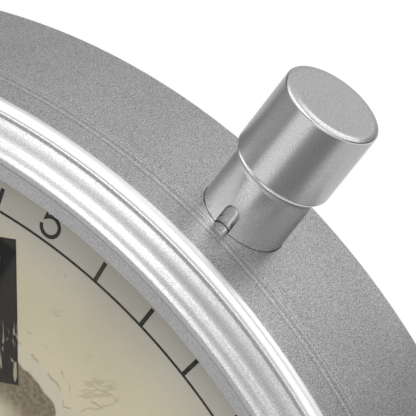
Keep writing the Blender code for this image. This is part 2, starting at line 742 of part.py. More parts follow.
def build_train():
    """The gear train. It gives the places of the arbors that pivot in the plates."""
    middle = (0.0, 0.0, 0.0)
    low_end, high_end = arbor_ends()
    down = LEVEL_STEP - GEAR_THICK / 2

    motion_distance = centre_distance(CANNON_TEETH, MOTION_TEETH, MOTION_MODULE)
    hour_module = 2 * motion_distance / (HOUR_DRIVER_TEETH + HOUR_TEETH)
    third_distance = centre_distance(CENTRE_DRIVER_TEETH, CENTRE_TEETH, CENTRE_MODULE)
    third_module = 2 * third_distance / (THIRD_DRIVER_TEETH + THIRD_TEETH)
    seconds_distance = centre_distance(SECONDS_DRIVER_TEETH, SECONDS_TEETH, SECONDS_MODULE)
    rotor_distance = centre_distance(ROTOR_TEETH, INTERMEDIATE_TEETH, INTERMEDIATE_MODULE)

    motion = beside(middle, motion_distance, MOTION_BEARING)
    third = beside(middle, third_distance, THIRD_BEARING)
    intermediate = beside(middle, seconds_distance, INTERMEDIATE_BEARING)
    rotor = beside(intermediate, rotor_distance, ROTOR_BEARING)
    setting_distance = centre_distance(SETTING_TEETH, MOTION_TEETH, MOTION_MODULE)
    setting = beside(motion, setting_distance, SETTING_BEARING)

    # Each wheel has a tooth towards its pinion, except the motion wheel, which is set by the cannon.
    hour_phase = MOTION_BEARING
    hour_driver_phase = mesh_phase(HOUR_TEETH, hour_phase, MOTION_BEARING, HOUR_DRIVER_TEETH)
    cannon_phase = MOTION_BEARING
    motion_phase = mesh_phase(CANNON_TEETH, cannon_phase, MOTION_BEARING, MOTION_TEETH)
    setting_phase = mesh_phase(MOTION_TEETH, motion_phase, SETTING_BEARING, SETTING_TEETH)
    centre_phase = THIRD_BEARING
    centre_driver_phase = mesh_phase(CENTRE_TEETH, centre_phase, THIRD_BEARING, CENTRE_DRIVER_TEETH)
    third_driver_phase = THIRD_BEARING
    third_phase = mesh_phase(THIRD_DRIVER_TEETH, third_driver_phase, THIRD_BEARING, THIRD_TEETH)
    seconds_phase = INTERMEDIATE_BEARING
    seconds_driver_phase = mesh_phase(
        SECONDS_TEETH, seconds_phase, INTERMEDIATE_BEARING, SECONDS_DRIVER_TEETH
    )
    intermediate_phase = ROTOR_BEARING
    rotor_phase = mesh_phase(INTERMEDIATE_TEETH, intermediate_phase, ROTOR_BEARING, ROTOR_TEETH)

    hour_bore = HOUR_PIPE - PIPE_WALL - RUN / 2
    hour_low = level(0)[0]
    hour_top = DIAL_FACE + HOUR_HAND_RISE + HAND_THICK + SLIDE
    wheel = gear("hour_wheel", HOUR_TEETH, hour_module, hour_phase, 0, BRASS, middle, hour_bore)
    pipe = ring("join_hour_pipe", hour_bore, HOUR_PIPE, hour_low, hour_top, PIPE_SIDES, None)
    join(wheel, pipe)

    minute_bore = MINUTE_PIPE - PIPE_WALL
    minute_top = hour_top + HAND_STEP
    wheel = gear("centre_wheel", CENTRE_TEETH, CENTRE_MODULE, centre_phase, 2, BRASS, middle, minute_bore)
    cannon = gear(
        "join_cannon_pinion", CANNON_TEETH, MOTION_MODULE, cannon_phase, 1, None, middle, minute_bore
    )
    pipe = ring("join_minute_pipe", minute_bore, MINUTE_PIPE, level(2)[0], minute_top, PIPE_SIDES, None)
    join(wheel, pipe, cannon)

    wheel = gear("motion_wheel", MOTION_TEETH, MOTION_MODULE, motion_phase, 1, NYLON, motion)
    pinion = gear(
        "join_motion_pinion", HOUR_DRIVER_TEETH, hour_module, hour_driver_phase, 0, None, motion, reach=down
    )
    shaft = cylinder("join_motion_arbor", MOTION_ARBOR, low_end, high_end, ARBOR_SIDES, None, motion)
    join(wheel, pinion, shaft)

    wheel = gear("third_wheel", THIRD_TEETH, third_module, third_phase, 3, NYLON, third)
    pinion = gear(
        "join_third_pinion", CENTRE_DRIVER_TEETH, CENTRE_MODULE, centre_driver_phase, 2, None, third, reach=down
    )
    shaft = cylinder("join_third_arbor", ARBOR, low_end, high_end, ARBOR_SIDES, None, third)
    join(wheel, pinion, shaft)

    wheel = gear("seconds_wheel", SECONDS_TEETH, SECONDS_MODULE, seconds_phase, 4, NYLON, middle)
    pinion = gear(
        "join_seconds_pinion", THIRD_DRIVER_TEETH, third_module, third_driver_phase, 3, None, middle, reach=down
    )
    seconds_top = minute_top + HAND_STEP
    shaft = cylinder("join_seconds_arbor", SECONDS_ARBOR, low_end, seconds_top, PIPE_SIDES, None, middle)
    join(wheel, pinion, shaft)

    wheel = gear(
        "intermediate_wheel", INTERMEDIATE_TEETH, INTERMEDIATE_MODULE, intermediate_phase,
        ROTOR_GEAR_LEVEL, NYLON, intermediate,
    )
    pinion = gear(
        "join_intermediate_pinion", SECONDS_DRIVER_TEETH, SECONDS_MODULE, seconds_driver_phase, 4, None,
        intermediate, reach=down,
    )
    shaft = cylinder("join_intermediate_arbor", ARBOR, low_end, high_end, ARBOR_SIDES, None, intermediate)
    join(wheel, pinion, shaft)

    magnet_low = STATOR_LEVEL - MAGNET_THICK / 2
    magnet = cylinder("rotor", MAGNET_RADIUS, magnet_low, magnet_low + MAGNET_THICK, 18, MAGNET, rotor)
    pinion = gear(
        "join_rotor_pinion", ROTOR_TEETH, INTERMEDIATE_MODULE, rotor_phase, ROTOR_GEAR_LEVEL, None, rotor,
        reach=down,
    )
    shaft = cylinder("join_rotor_arbor", ARBOR, low_end, high_end, ARBOR_SIDES, None, rotor)
    join(magnet, pinion, shaft)

    wheel = gear("setting_wheel", SETTING_TEETH, MOTION_MODULE, setting_phase, 1, NYLON, setting)
    knob_high = MOVEMENT_BACK - SLIDE
    shaft = cylinder(
        "join_setting_shaft", SETTING_SHAFT, knob_high - KNOB_THICK / 2, high_end, PIPE_SIDES, None, setting
    )
    knurl = [polar(KNOB_RADIUS - (i % 2) * 0.5 * MM, tau * i / 40) for i in range(40)]
    knob = plate("join_setting_knob", [knurl], knob_high - KNOB_THICK, knob_high, None, setting)
    join(wheel, shaft, knob)
    return motion, third, intermediate, rotor, setting


def shell(name, low, high, floor_low, floor_high, finish):
    """Half of the movement's case: a square tray with a room for the gears and one for the battery."""
    body = plate(name, [rounded_square(MOVEMENT_SIDE / 2, CORNER_ROUND, 2)], low, high, finish)
    wall = MOVEMENT_WALL / 2
    past = 1.0 * MM
    room_low = floor_high if floor_low == low else low - past
    room_high = high + past if floor_low == low else floor_low
    gears = box(
        f"cut_{name}_gears",
        (-INNER_HALF, PARTITION + wall, room_low),
        (INNER_HALF, INNER_HALF, room_high),
        None,
    )
    battery_low = low - past
    battery = box(
        f"cut_{name}_battery",
        (-INNER_HALF, -INNER_HALF, battery_low),
        (INNER_HALF, PARTITION - wall, room_high),
        None,
    )
    return cut(body, gears, battery)


def build_movement_case(motion, third, intermediate, rotor, setting):
    back_high = MOVEMENT_SPLIT - SEAT
    front = shell("movement_front", MOVEMENT_SPLIT, MOVEMENT_FRONT, INNER_FRONT, MOVEMENT_FRONT, BLACK_PLASTIC)
    back = shell("movement_back", MOVEMENT_BACK, back_high, MOVEMENT_BACK, INNER_BACK, BLACK_PLASTIC)

    bushing = cylinder(
        "join_bushing", BUSHING_RADIUS, INNER_FRONT + MOVEMENT_WALL / 2, BUSHING_END, 24, None
    )
    bore = cylinder("cut_bushing", HOUR_PIPE + 2 * RUN, INNER_FRONT - SLIDE, BUSHING_END + SLIDE, 24, None)
    join(front, bushing)
    cut(front, bore)

    posts = stator_posts() + board_posts()
    for number, (x, y) in enumerate(posts, 1):
        post_top = STATOR_LEVEL - STATOR_THICK / 2 - SEAT
        join(
            back,
            cylinder(f"join_post_{number}", POST_RADIUS, INNER_BACK - SEAT, post_top, 8, None, (x, y, 0.0)),
        )

    arbors = (
        ("motion", motion, MOTION_ARBOR),
        ("third", third, ARBOR),
        ("intermediate", intermediate, ARBOR),
        ("rotor", rotor, ARBOR),
    )
    for name, place, radius in arbors:
        deep_front = INNER_FRONT + PIVOT_DEPTH
        deep_back = INNER_BACK - PIVOT_DEPTH
        cut(front, cylinder(f"cut_front_{name}", radius + RUN, INNER_FRONT - SEAT, deep_front, 8, None, place))
        cut(back, cylinder(f"cut_back_{name}", radius + RUN, deep_back, INNER_BACK + SEAT, 8, None, place))
    deep_back = INNER_BACK - PIVOT_DEPTH
    cut(back, cylinder("cut_back_seconds", SECONDS_ARBOR + RUN, deep_back, INNER_BACK + SEAT, 10, None))
    deep_front = INNER_FRONT + PIVOT_DEPTH
    cut(
        front,
        cylinder("cut_front_setting", SETTING_SHAFT + RUN, INNER_FRONT - SEAT, deep_front, 12, None, setting),
    )
    past = MOVEMENT_BACK - SLIDE
    cut(
        back,
        cylinder("cut_back_setting", SETTING_SHAFT + RUN, past, INNER_BACK + SEAT, 12, None, setting),
    )


def stator_outline():
    """Two arms that rise from the rotor's pole to the ends of the coil."""
    arm = 4.0 * MM
    left = -(COIL_HALF_LENGTH + 1.2 * MM + arm)
    right = COIL_HALF_LENGTH + 1.5 * MM + arm
    top = COIL_PLACE + 2.5 * MM
    yoke_low, yoke_high = 12.2 * MM, 16.2 * MM
    pole_right, pole_low = -5.2 * MM, 6.2 * MM
    return [
        (left, pole_low),
        (pole_right, pole_low),
        (pole_right, yoke_low),
        (right, yoke_low),
        (right, top),
        (right - arm, top),
        (right - arm, yoke_high),
        (left + arm, yoke_high),
        (left + arm, top),
        (left, top),
    ]


def stator_posts():
    return [(-12.2 * MM, 18.0 * MM), (12.5 * MM, 18.0 * MM), (3.0 * MM, 14.2 * MM)]


def board_posts():
    edge = PCB_HALF - PCB_POST_INSET
    return [(PCB_LEFT + PCB_POST_INSET, -edge), (PCB_RIGHT - PCB_POST_INSET, edge)]


def build_motor_and_circuit(rotor):
    low = STATOR_LEVEL - STATOR_THICK / 2
    high = STATOR_LEVEL + STATOR_THICK / 2
    hole = circle(MAGNET_RADIUS + STATOR_GAP, 18, rotor)
    plate("stator", [stator_outline(), hole], low, high, STEEL)

    core_low = high + SEAT
    core_high = core_low + STATOR_THICK
    reach = COIL_HALF_LENGTH + 4.8 * MM
    half = CORE_WIDTH / 2
    box(
        "coil_core",
        (-reach, COIL_PLACE - half, core_low),
        (reach, COIL_PLACE + half, core_high),
        STEEL,
    )
    bore = hypot(half, STATOR_THICK / 2) + SEAT
    turned(
        "coil_winding",
        [
            (COIL_RADIUS, COIL_HALF_LENGTH),
            (COIL_RADIUS, -COIL_HALF_LENGTH),
            (bore, -COIL_HALF_LENGTH),
            (bore, COIL_HALF_LENGTH),
        ],
        20,
        COPPER,
        (0.0, COIL_PLACE, (core_low + core_high) / 2),
        turn=(0.0, pi / 2, 0.0),
    )
    box("circuit_board", (PCB_LEFT, -PCB_HALF, low), (PCB_RIGHT, PCB_HALF, high), PCB)
    crystal_at = ((PCB_LEFT + PCB_RIGHT) / 2, CRYSTAL_PLACE, high + SEAT + CRYSTAL_RADIUS)
    cylinder(
        "quartz_crystal", CRYSTAL_RADIUS, -CRYSTAL_HALF, CRYSTAL_HALF, 12, STEEL, crystal_at,
        turn=(0.0, pi / 2, 0.0),
    )


def build_battery():
    cell_height = INNER_FRONT - SEAT - CELL_RADIUS
    half = CELL_LENGTH / 2
    shoulder = half - NIPPLE_LENGTH
    profile = [
        (0.0, half),
        (NIPPLE_RADIUS, half),
        (NIPPLE_RADIUS, shoulder),
        (CELL_RADIUS - 0.5 * MM, shoulder),
        (CELL_RADIUS, shoulder - 0.5 * MM),
        (CELL_RADIUS, -half + 0.5 * MM),
        (CELL_RADIUS - 0.5 * MM, -half),
        (0.0, -half),
    ]
    turned("battery_cell", profile, 24, CELL_WRAP, (0.0, CELL_PLACE, cell_height), turn=(0.0, pi / 2, 0.0))
    for name, side in (("battery_contact_plus", 1), ("battery_contact_minus", -1)):
        near = side * (half + SEAT)
        far = near + side * CONTACT_THICK
        box(
            name,
            (min(near, far), CELL_PLACE - 5.0 * MM, cell_height - 5.0 * MM),
            (max(near, far), CELL_PLACE + 5.0 * MM, cell_height + 5.0 * MM),
            STEEL,
        )


def build_movement_fixing():
    """The cushion behind the dial board, and the washer and nut in front of the dial."""
    bore = BUSHING_RADIUS + RUN
    ring(
        "cushion_washer", bore, CUSHION_RADIUS, MOVEMENT_FRONT + SEAT, BOARD_BACK - SEAT, 24, RUBBER
    )
    washer_low = DIAL_FACE + SEAT
    ring("clamp_washer", bore, WASHER_RADIUS, washer_low, washer_low + WASHER_THICK, 24, BRASS)
    nut_low = washer_low + WASHER_THICK + SEAT
    corner = NUT_FLATS / 2 / cos(pi / 6)
    plate(
        "clamp_nut", [circle(corner, 6), circle(bore, 24)], nut_low, nut_low + NUT_THICK, BRASS
    )


def settle_meshes():
    """Keep each piece's finished mesh and shade it, so that its round faces look round."""
    graph = bpy.context.evaluated_depsgraph_get()
    finished = {}
    for piece in PARTS.objects:
        if piece.type == "MESH":
            finished[piece] = bpy.data.meshes.new_from_object(piece.evaluated_get(graph))
    for piece, mesh in finished.items():
        piece.modifiers.clear()
        piece.data = mesh
        mesh.name = piece.name
        mesh.shade_smooth()
        mesh.set_sharp_from_angle(angle=radians(35))


clear_scene()
PARTS = new_collection("wall_clock")
CUTTERS = new_collection("cutters")

ALUMINIUM = material("satin_aluminium", (0.62, 0.62, 0.63), 0.38, 1.0)
BLACK_STEEL = material("black_painted_steel", (0.03, 0.03, 0.032), 0.5, 0.0)
STEEL = material("bright_steel", (0.55, 0.55, 0.56), 0.35, 1.0)
BRASS = material("brass", (0.72, 0.52, 0.22), 0.35, 1.0)
COPPER = material("enamelled_copper", (0.62, 0.25, 0.1), 0.4, 1.0)
MAGNET = material("magnet", (0.08, 0.08, 0.085), 0.5, 0.6)
NYLON = material("white_nylon", (0.78, 0.77, 0.72), 0.5, 0.0)
BLACK_PLASTIC = material("black_plastic", (0.02, 0.02, 0.02), 0.45, 0.0)
RUBBER = material("black_rubber", (0.025, 0.025, 0.025), 0.8, 0.0)
SPACER_GREY = material("grey_plastic", (0.42, 0.43, 0.44), 0.6, 0.0)
GLASS = material("clear_glass", (0.9, 0.95, 0.95), 0.02, 0.0)
DIAL_PAPER = material("aged_paper", (0.44, 0.39, 0.29), 0.8, 0.0)
BOARD = material("fibre_board", (0.22, 0.15, 0.09), 0.85, 0.0)
PCB = material("circuit_board", (0.03, 0.16, 0.07), 0.5, 0.0)
CELL_WRAP = material("battery_wrap", (0.1, 0.11, 0.12), 0.35, 0.2)
HAND_BLACK = material("black_enamel", (0.012, 0.012, 0.012), 0.4, 0.0)

CLOCK = empty("clock_frame", matrix=Matrix.Rotation(pi / 2, 4, "X"))
UPRIGHT = Matrix.Rotation(pi / 2, 4, "X")
# The button's own frame: Z outwards along its axis, Y towards the wall.
BUTTON = empty(
    "button_frame",
    CLOCK,
    Matrix.Translation((0.0, 0.0, BUTTON_HEIGHT))
    @ Matrix.Rotation(-BUTTON_ANGLE, 4, "Z")
    @ Matrix.Rotation(-pi / 2, 4, "X"),
)

build_case_band()
build_bezel()
build_front_stack()
build_rear_cover()
build_button()
build_button_guide()
build_hands()
ARBORS = build_train()
build_movement_case(*ARBORS)
build_motor_and_circuit(ARBORS[3])
build_battery()
build_movement_fixing()
settle_meshes()
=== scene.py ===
# Wall clock with a turned aluminium case, seen close to the push button on its rim.
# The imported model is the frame: every piece here is drawn over one of its nodes, in metres.

import json
from math import acos, asin, cos, pi, radians, sin, tan, tau

import bmesh
import bpy
from mathutils import Matrix, Vector

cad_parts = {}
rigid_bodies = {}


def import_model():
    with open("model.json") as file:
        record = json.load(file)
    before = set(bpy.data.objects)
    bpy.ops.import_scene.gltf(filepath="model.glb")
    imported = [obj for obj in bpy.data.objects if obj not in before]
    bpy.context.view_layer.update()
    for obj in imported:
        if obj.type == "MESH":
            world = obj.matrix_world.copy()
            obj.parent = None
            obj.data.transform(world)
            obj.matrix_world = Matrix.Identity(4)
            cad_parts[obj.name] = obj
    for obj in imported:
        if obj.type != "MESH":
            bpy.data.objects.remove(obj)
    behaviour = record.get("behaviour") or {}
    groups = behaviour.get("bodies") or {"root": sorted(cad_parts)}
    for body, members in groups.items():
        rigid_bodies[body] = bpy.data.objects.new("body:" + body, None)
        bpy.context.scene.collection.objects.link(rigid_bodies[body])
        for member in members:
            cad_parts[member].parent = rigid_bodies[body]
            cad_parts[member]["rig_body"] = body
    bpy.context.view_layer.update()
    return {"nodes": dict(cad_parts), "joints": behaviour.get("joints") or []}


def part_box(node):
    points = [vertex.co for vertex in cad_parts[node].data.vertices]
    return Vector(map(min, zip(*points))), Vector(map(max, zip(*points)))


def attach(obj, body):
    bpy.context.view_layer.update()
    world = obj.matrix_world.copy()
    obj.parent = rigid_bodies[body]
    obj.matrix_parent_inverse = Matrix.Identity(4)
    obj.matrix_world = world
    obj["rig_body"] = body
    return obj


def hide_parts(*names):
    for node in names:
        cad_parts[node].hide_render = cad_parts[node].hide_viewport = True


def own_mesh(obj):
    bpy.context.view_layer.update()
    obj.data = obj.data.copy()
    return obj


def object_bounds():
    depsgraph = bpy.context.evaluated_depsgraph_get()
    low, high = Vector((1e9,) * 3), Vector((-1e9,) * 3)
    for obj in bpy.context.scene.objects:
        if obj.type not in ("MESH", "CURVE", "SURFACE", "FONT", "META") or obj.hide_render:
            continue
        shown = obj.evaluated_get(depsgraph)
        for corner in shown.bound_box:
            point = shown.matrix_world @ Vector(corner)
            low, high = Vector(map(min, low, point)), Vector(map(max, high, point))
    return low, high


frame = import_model()
nodes = frame["nodes"]
print("frame loaded with", len(nodes), "nodes")

mm = 0.001
mergeDistance = 0.001 * mm
sliverArea = 1e-14


# Places read from the frame. Depth is counted from the wall towards the viewer.

def frontOf(node):
    return -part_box(node)[0].y


def backOf(node):
    return -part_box(node)[1].y


def radiusOf(node):
    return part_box(node)[1].x


clockPlace = Matrix.Rotation(pi / 2, 4, "X")
pressJoint = next(joint for joint in frame["joints"] if joint["name"] == "pusher_press")
buttonAxis = -Vector(pressJoint["axis"])
buttonAngle = asin(buttonAxis.x)  # clockwise from 12 o'clock
buttonLow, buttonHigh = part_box("pusher_button")
buttonDepth = -((buttonLow + buttonHigh) / 2).y
# Local Z outwards along the button, local Y towards the wall
buttonPlace = (
    Matrix.Translation((0, -buttonDepth, 0))
    @ clockPlace
    @ Matrix.Rotation(-buttonAngle, 4, "Z")
    @ Matrix.Rotation(-pi / 2, 4, "X")
)


# Mesh tools

def newObject(name, mesh):
    made = bpy.data.objects.new(name, mesh)
    bpy.context.scene.collection.objects.link(made)
    return made


def applyModifiers(piece):
    graph = bpy.context.evaluated_depsgraph_get()
    mesh = bpy.data.meshes.new_from_object(piece.evaluated_get(graph))
    piece.modifiers.clear()
    piece.data = mesh
    mesh.name = piece.name


def smooth(piece, angle=30):
    piece.data.shade_smooth()
    piece.data.set_sharp_from_angle(angle=radians(angle))
    return piece


# The piece gets its material, rides on its body and stands for the nodes it covers
def finish(piece, material, body, slot, *replaced):
    piece.data.materials.clear()
    piece.data.materials.append(material)
    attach(piece, body)
    if replaced:
        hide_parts(*replaced)


def meshOf(work, name):
    mesh = bpy.data.meshes.new(name)
    work.to_mesh(mesh)
    work.free()
    return mesh


# The share of a side that a rounding may take, and the short straights beside it
rounding = {"share": 0.45, "support": 0.12 * mm, "supportShare": 0.1}


# Points of a closed section whose corners are (radius, depth, rounding in mm)
def rounded(corners, steps):
    share = rounding["share"]
    points = []
    for i, (x, y, size) in enumerate(corners):
        here = Vector((x, y))
        before = Vector(corners[i - 1][:2]) - here
        after = Vector(corners[(i + 1) % len(corners)][:2]) - here
        if size <= 0:
            points.append((x, y))
            continue
        half = before.angle(after) / 2
        reach = min(size * mm / tan(half), before.length * share, after.length * share)
        support = min(rounding["support"], reach * rounding["supportShare"])
        before.normalize()
        after.normalize()
        start, end = here + before * reach, here + after * reach
        points.append(tuple(start + before * support))
        for step in range(steps + 1):
            t = step / steps
            points.append(tuple(start * (1 - t) ** 2 + here * 2 * t * (1 - t) + end * t ** 2))
        points.append(tuple(end + after * support))
    return points


# Corners round a place, from rows of (outwards, up, rounding) in mm
def cornersAt(x, y, rows):
    return [(x + outwards * mm, y + up * mm, size) for outwards, up, size in rows]


# Points along an upright oval, between two angles in degrees
def bow(x, y, across, up, start, end, steps=18):
    angles = [radians(start + (end - start) * i / steps) for i in range(steps + 1)]
    return [(x + across * cos(a), y + up * sin(a)) for a in angles]


# Corners without rounding, along a round arc
def arc(x, y, radius, start, end, steps):
    return [(*point, 0) for point in bow(x, y, radius, radius, start, end, steps)]


def circlePoints(radius, sides):
    return [(radius * cos(tau * i / sides), radius * sin(tau * i / sides)) for i in range(sides)]


# Turn a closed section of (radius, height) points about the local Z axis
def turned(name, section, steps, place=clockPlace):
    count = len(section)
    vertices = [(radius * x, radius * y, z) for x, y in circlePoints(1, steps) for radius, z in section]
    faces = []
    for step in range(steps):
        here, there = step * count, (step + 1) % steps * count
        for i in range(count):
            j = (i + 1) % count
            faces.append((here + i, here + j, there + j, there + i))
    mesh = bpy.data.meshes.new(name)
    mesh.from_pydata(vertices, [], faces)
    work = bmesh.new()
    work.from_mesh(mesh)
    bmesh.ops.remove_doubles(work, verts=work.verts, dist=mergeDistance)
    flat = [face for face in work.faces if face.calc_area() < sliverArea]
    bmesh.ops.delete(work, geom=flat, context="FACES_ONLY")
    bmesh.ops.recalc_face_normals(work, faces=work.faces)
    work.to_mesh(mesh)
    work.free()
    mesh.transform(place)
    return smooth(newObject(name, mesh))


# A prism over an outline of (x, y) points
def slab(name, outline, low, high, place):
    work = bmesh.new()
    bottom = work.faces.new([work.verts.new((x, y, low)) for x, y in outline])
    top = bmesh.ops.extrude_face_region(work, geom=[bottom])
    raised = [item for item in top["geom"] if isinstance(item, bmesh.types.BMVert)]
    bmesh.ops.translate(work, verts=raised, vec=(0, 0, high - low))
    bmesh.ops.recalc_face_normals(work, faces=work.faces)
    mesh = meshOf(work, name)
    mesh.transform(place)
    return newObject(name, mesh)


# Cut the tools away from a piece and drop them
def carve(piece, *tools):
    for tool in tools:
        step = piece.modifiers.new(tool.name, "BOOLEAN")
        step.operation = "DIFFERENCE"
        step.object = tool
    applyModifiers(piece)
    for tool in tools:
        bpy.data.objects.remove(tool)


# Material tools

# Plug sockets into a node's inputs and set its plain values
def fill(node, inputs):
    for socket, value in inputs.items():
        if isinstance(value, bpy.types.NodeSocket):
            node.id_data.links.new(value, node.inputs[socket])
        else:
            node.inputs[socket].default_value = value


# Shader nodes are named without their prefix
def addNode(tree, kind, inputs=None, **settings):
    node = tree.nodes.new(kind if kind.startswith("Geometry") else "ShaderNode" + kind)
    for key, value in settings.items():
        setattr(node, key, value)
    fill(node, inputs or {})
    return node


def math(tree, operation, a, b=0, c=0):
    return addNode(tree, "Math", {0: a, 1: b, 2: c}, operation=operation).outputs[0]


def times(tree, a, b):
    return math(tree, "MULTIPLY", a, b)


def mixValue(tree, factor, a, b):
    return addNode(tree, "Mix", {0: factor, 2: a, 3: b}, data_type="FLOAT").outputs[0]


def mixColour(tree, factor, a, b):
    ends = [end if isinstance(end, bpy.types.NodeSocket) else (*end, 1) for end in (a, b)]
    return addNode(tree, "Mix", {0: factor, 6: ends[0], 7: ends[1]}, data_type="RGBA").outputs[2]


# The colour times 1 plus a value's share
def lifted(tree, colour, value, share):
    factor = math(tree, "MULTIPLY_ADD", value, share, 1)
    return addNode(tree, "VectorMath", {0: colour, "Scale": factor}, operation="SCALE").outputs[0]


def measured(tree, operation, *vectors):
    return addNode(tree, "VectorMath", dict(enumerate(vectors)), operation=operation).outputs["Value"]


def objectPlace(tree):
    return addNode(tree, "TexCoord").outputs["Object"]


def axesOf(tree):
    return addNode(tree, "SeparateXYZ", {0: objectPlace(tree)}).outputs


# The place laid flat: on the dial, or along two other axes
def flatOf(tree, axes, kept="XZ"):
    return addNode(tree, "CombineXYZ", {axis: axes[axis] for axis in kept}).outputs[0]


def stretched(tree, place, scale):
    return addNode(tree, "Mapping", {"Vector": place, "Scale": scale}).outputs[0]


def span(tree, value, low, high, start=0, end=1, kind="SMOOTHSTEP"):
    settings = {"Value": value, "From Min": low, "From Max": high, "To Min": start, "To Max": end}
    return addNode(tree, "MapRange", settings, interpolation_type=kind).outputs["Result"]


def noiseOf(tree, place, scale, detail=2, **inputs):
    inputs.update({"Vector": place, "Scale": scale, "Detail": detail})
    return addNode(tree, "TexNoise", inputs).outputs["Fac"]


# Noise of a scale and detail, cut between two levels and stretched like any span
def patches(tree, place, scale, detail, *levels):
    return span(tree, noiseOf(tree, place, scale, detail), *levels)


# 1 where a value is within half of the middle
def bandOf(tree, value, middle, half, soft):
    away = math(tree, "ABSOLUTE", math(tree, "SUBTRACT", value, middle))
    return span(tree, away, half, half + soft, 1, 0)


def bumpOf(tree, height, strength, distance, **inputs):
    inputs.update({"Height": height, "Strength": strength, "Distance": distance})
    return addNode(tree, "Bump", inputs).outputs[0]


# What the sockets of node groups hold, other than plain numbers
socketKinds = {"Base Color": "Color", "Normal": "Vector", "Geometry": "Geometry"}
socketKinds.update({"Count": "Int", "Skip": "Int"})


# A node group: its tree, the sockets it is given and its output node
def newGroup(name, inputs, outputs, kind="ShaderNodeTree"):
    tree = bpy.data.node_groups.new(name, kind)
    for side, labels in (("INPUT", inputs), ("OUTPUT", outputs)):
        for label in labels:
            held = "NodeSocket" + socketKinds.get(label, "Float")
            tree.interface.new_socket(label, in_out=side, socket_type=held)
    return tree, tree.nodes.new("NodeGroupInput").outputs, tree.nodes.new("NodeGroupOutput")


def newMaterial(name, colour, roughness, metallic=0):
    made = bpy.data.materials.new(name)
    made.use_nodes = True
    shader = made.node_tree.nodes["Principled BSDF"]
    fill(shader, {"Base Color": (*colour, 1), "Roughness": roughness, "Metallic": metallic})
    return made, made.node_tree, shader


# The material's surface: one shader, with another laid over it
def layered(tree, factor, below, above):
    mix = addNode(tree, "MixShader", {0: factor, 1: below.outputs[0], 2: above.outputs[0]})
    fill(tree.nodes["Material Output"], {"Surface": mix.outputs[0]})


# Fine grain that is the same size on every blasted, cast or moulded surface
fineGrain = {
    "detail": 1.5,
    "levels": (0.3, 0.7),
    "cloudScale": 0.013,  # beside the grain's
    "cloudDetail": 3,
    "cloudStrength": 0.08,
    "glossSwing": -0.12,
    "depth": 0.05 * mm,
}
grainInputs = ("Base Color", "Roughness", "Size", "Contrast", "Relief")
grainOutputs = ("Base Color", "Roughness", "Normal")


def makeGrainGroup():
    tree, given, result = newGroup("fineGrain", grainInputs, grainOutputs)
    place = objectPlace(tree)
    scale = math(tree, "DIVIDE", 1, given["Size"])
    grains = noiseOf(tree, place, scale, fineGrain["detail"])
    grain = span(tree, grains, *fineGrain["levels"], -1, 1, "LINEAR")
    cloudScale = times(tree, scale, fineGrain["cloudScale"])
    strength = fineGrain["cloudStrength"]
    noise = (cloudScale, fineGrain["cloudDetail"], *fineGrain["levels"], -strength, strength, "LINEAR")
    both = math(tree, "ADD", grain, patches(tree, place, *noise))
    rough = math(tree, "MULTIPLY_ADD", both, fineGrain["glossSwing"], 1)
    looks = {
        "Base Color": lifted(tree, given["Base Color"], both, given["Contrast"]),
        "Roughness": times(tree, rough, given["Roughness"]),
        "Normal": bumpOf(tree, grains, given["Relief"], fineGrain["depth"]),
    }
    fill(result, looks)
    return tree


# Fine lines left by a lathe tool, along a position counted in metres
latheNoise = {"Scale": 1, "Detail": 2}
latheLevels = (0.35, 0.65)
latheInputs = ("Position", "From", "To", "Pitch", "Fade")


def makeLatheGroup():
    tree, given, result = newGroup("latheLines", latheInputs, ("Lines",))
    where = given["Position"]
    steps = math(tree, "DIVIDE", where, given["Pitch"])
    noise = addNode(tree, "TexNoise", {"W": steps, **latheNoise}, noise_dimensions="1D")
    enter = math(tree, "SUBTRACT", where, given["From"])
    leave = math(tree, "SUBTRACT", given["To"], where)
    share = math(tree, "DIVIDE", math(tree, "MINIMUM", enter, leave), given["Fade"])
    lines = span(tree, noise.outputs["Fac"], *latheLevels, -1, 1, "LINEAR")
    fill(result, {"Lines": times(tree, lines, span(tree, share, 0, 1))})
    return tree


grainGroup = makeGrainGroup()
latheGroup = makeLatheGroup()


def grainedMaterial(name, colour, roughness, metallic, size, contrast, relief):
    made, tree, shader = newMaterial(name, colour, roughness, metallic)
    inputs = zip(grainInputs, ((*colour, 1), roughness, size, contrast, relief))
    grain = addNode(tree, "Group", dict(inputs), node_tree=grainGroup).outputs
    fill(shader, {label: grain[label] for label in grainOutputs})
    return made, tree, shader, grain


metal = {
    # colour, roughness, range and pitch of the lathe's lines
    "band": ((0.46, 0.46, 0.463), 0.42, (27 * mm, 36 * mm), 0.8 * mm),
    "bezel": ((0.5, 0.5, 0.503), 0.42, (142 * mm, 145.6 * mm), 0.45 * mm),
    "button": ((0.6, 0.6, 0.603), 0.23),
    "grainSize": 0.21 * mm,
    "contrast": 0.62,  # these two of the band
    "relief": 0.5,
    "turnedContrast": 0.28,  # these two of the bezel and the button
    "turnedRelief": 0.08,
    "lineContrast": 0.14,
    "lineFade": 2.5 * mm,
    "lineRelief": 0.25,
    "lineDepth": 0.02 * mm,
    "toolMarks": ((32.1, 1), (33, -1), (33.65, 1), (34.75, -1)),  # depth in mm, light or dark
    "markWidth": 0.16,
    "markContrast": 0.16,
    "brightCut": (0.9, 0.9, 0.9),
    "brightRoughness": 0.36,
    "brightFrom": (41.2 * mm, 41.7 * mm),
    "brightOutside": (146.95 * mm, 147.35 * mm),
    "brightInside": 0.5,
    "buttonStretch": 0.5,
    "sideSmoothing": 0.5,
    "sideFade": (0.3, 0.8),
}


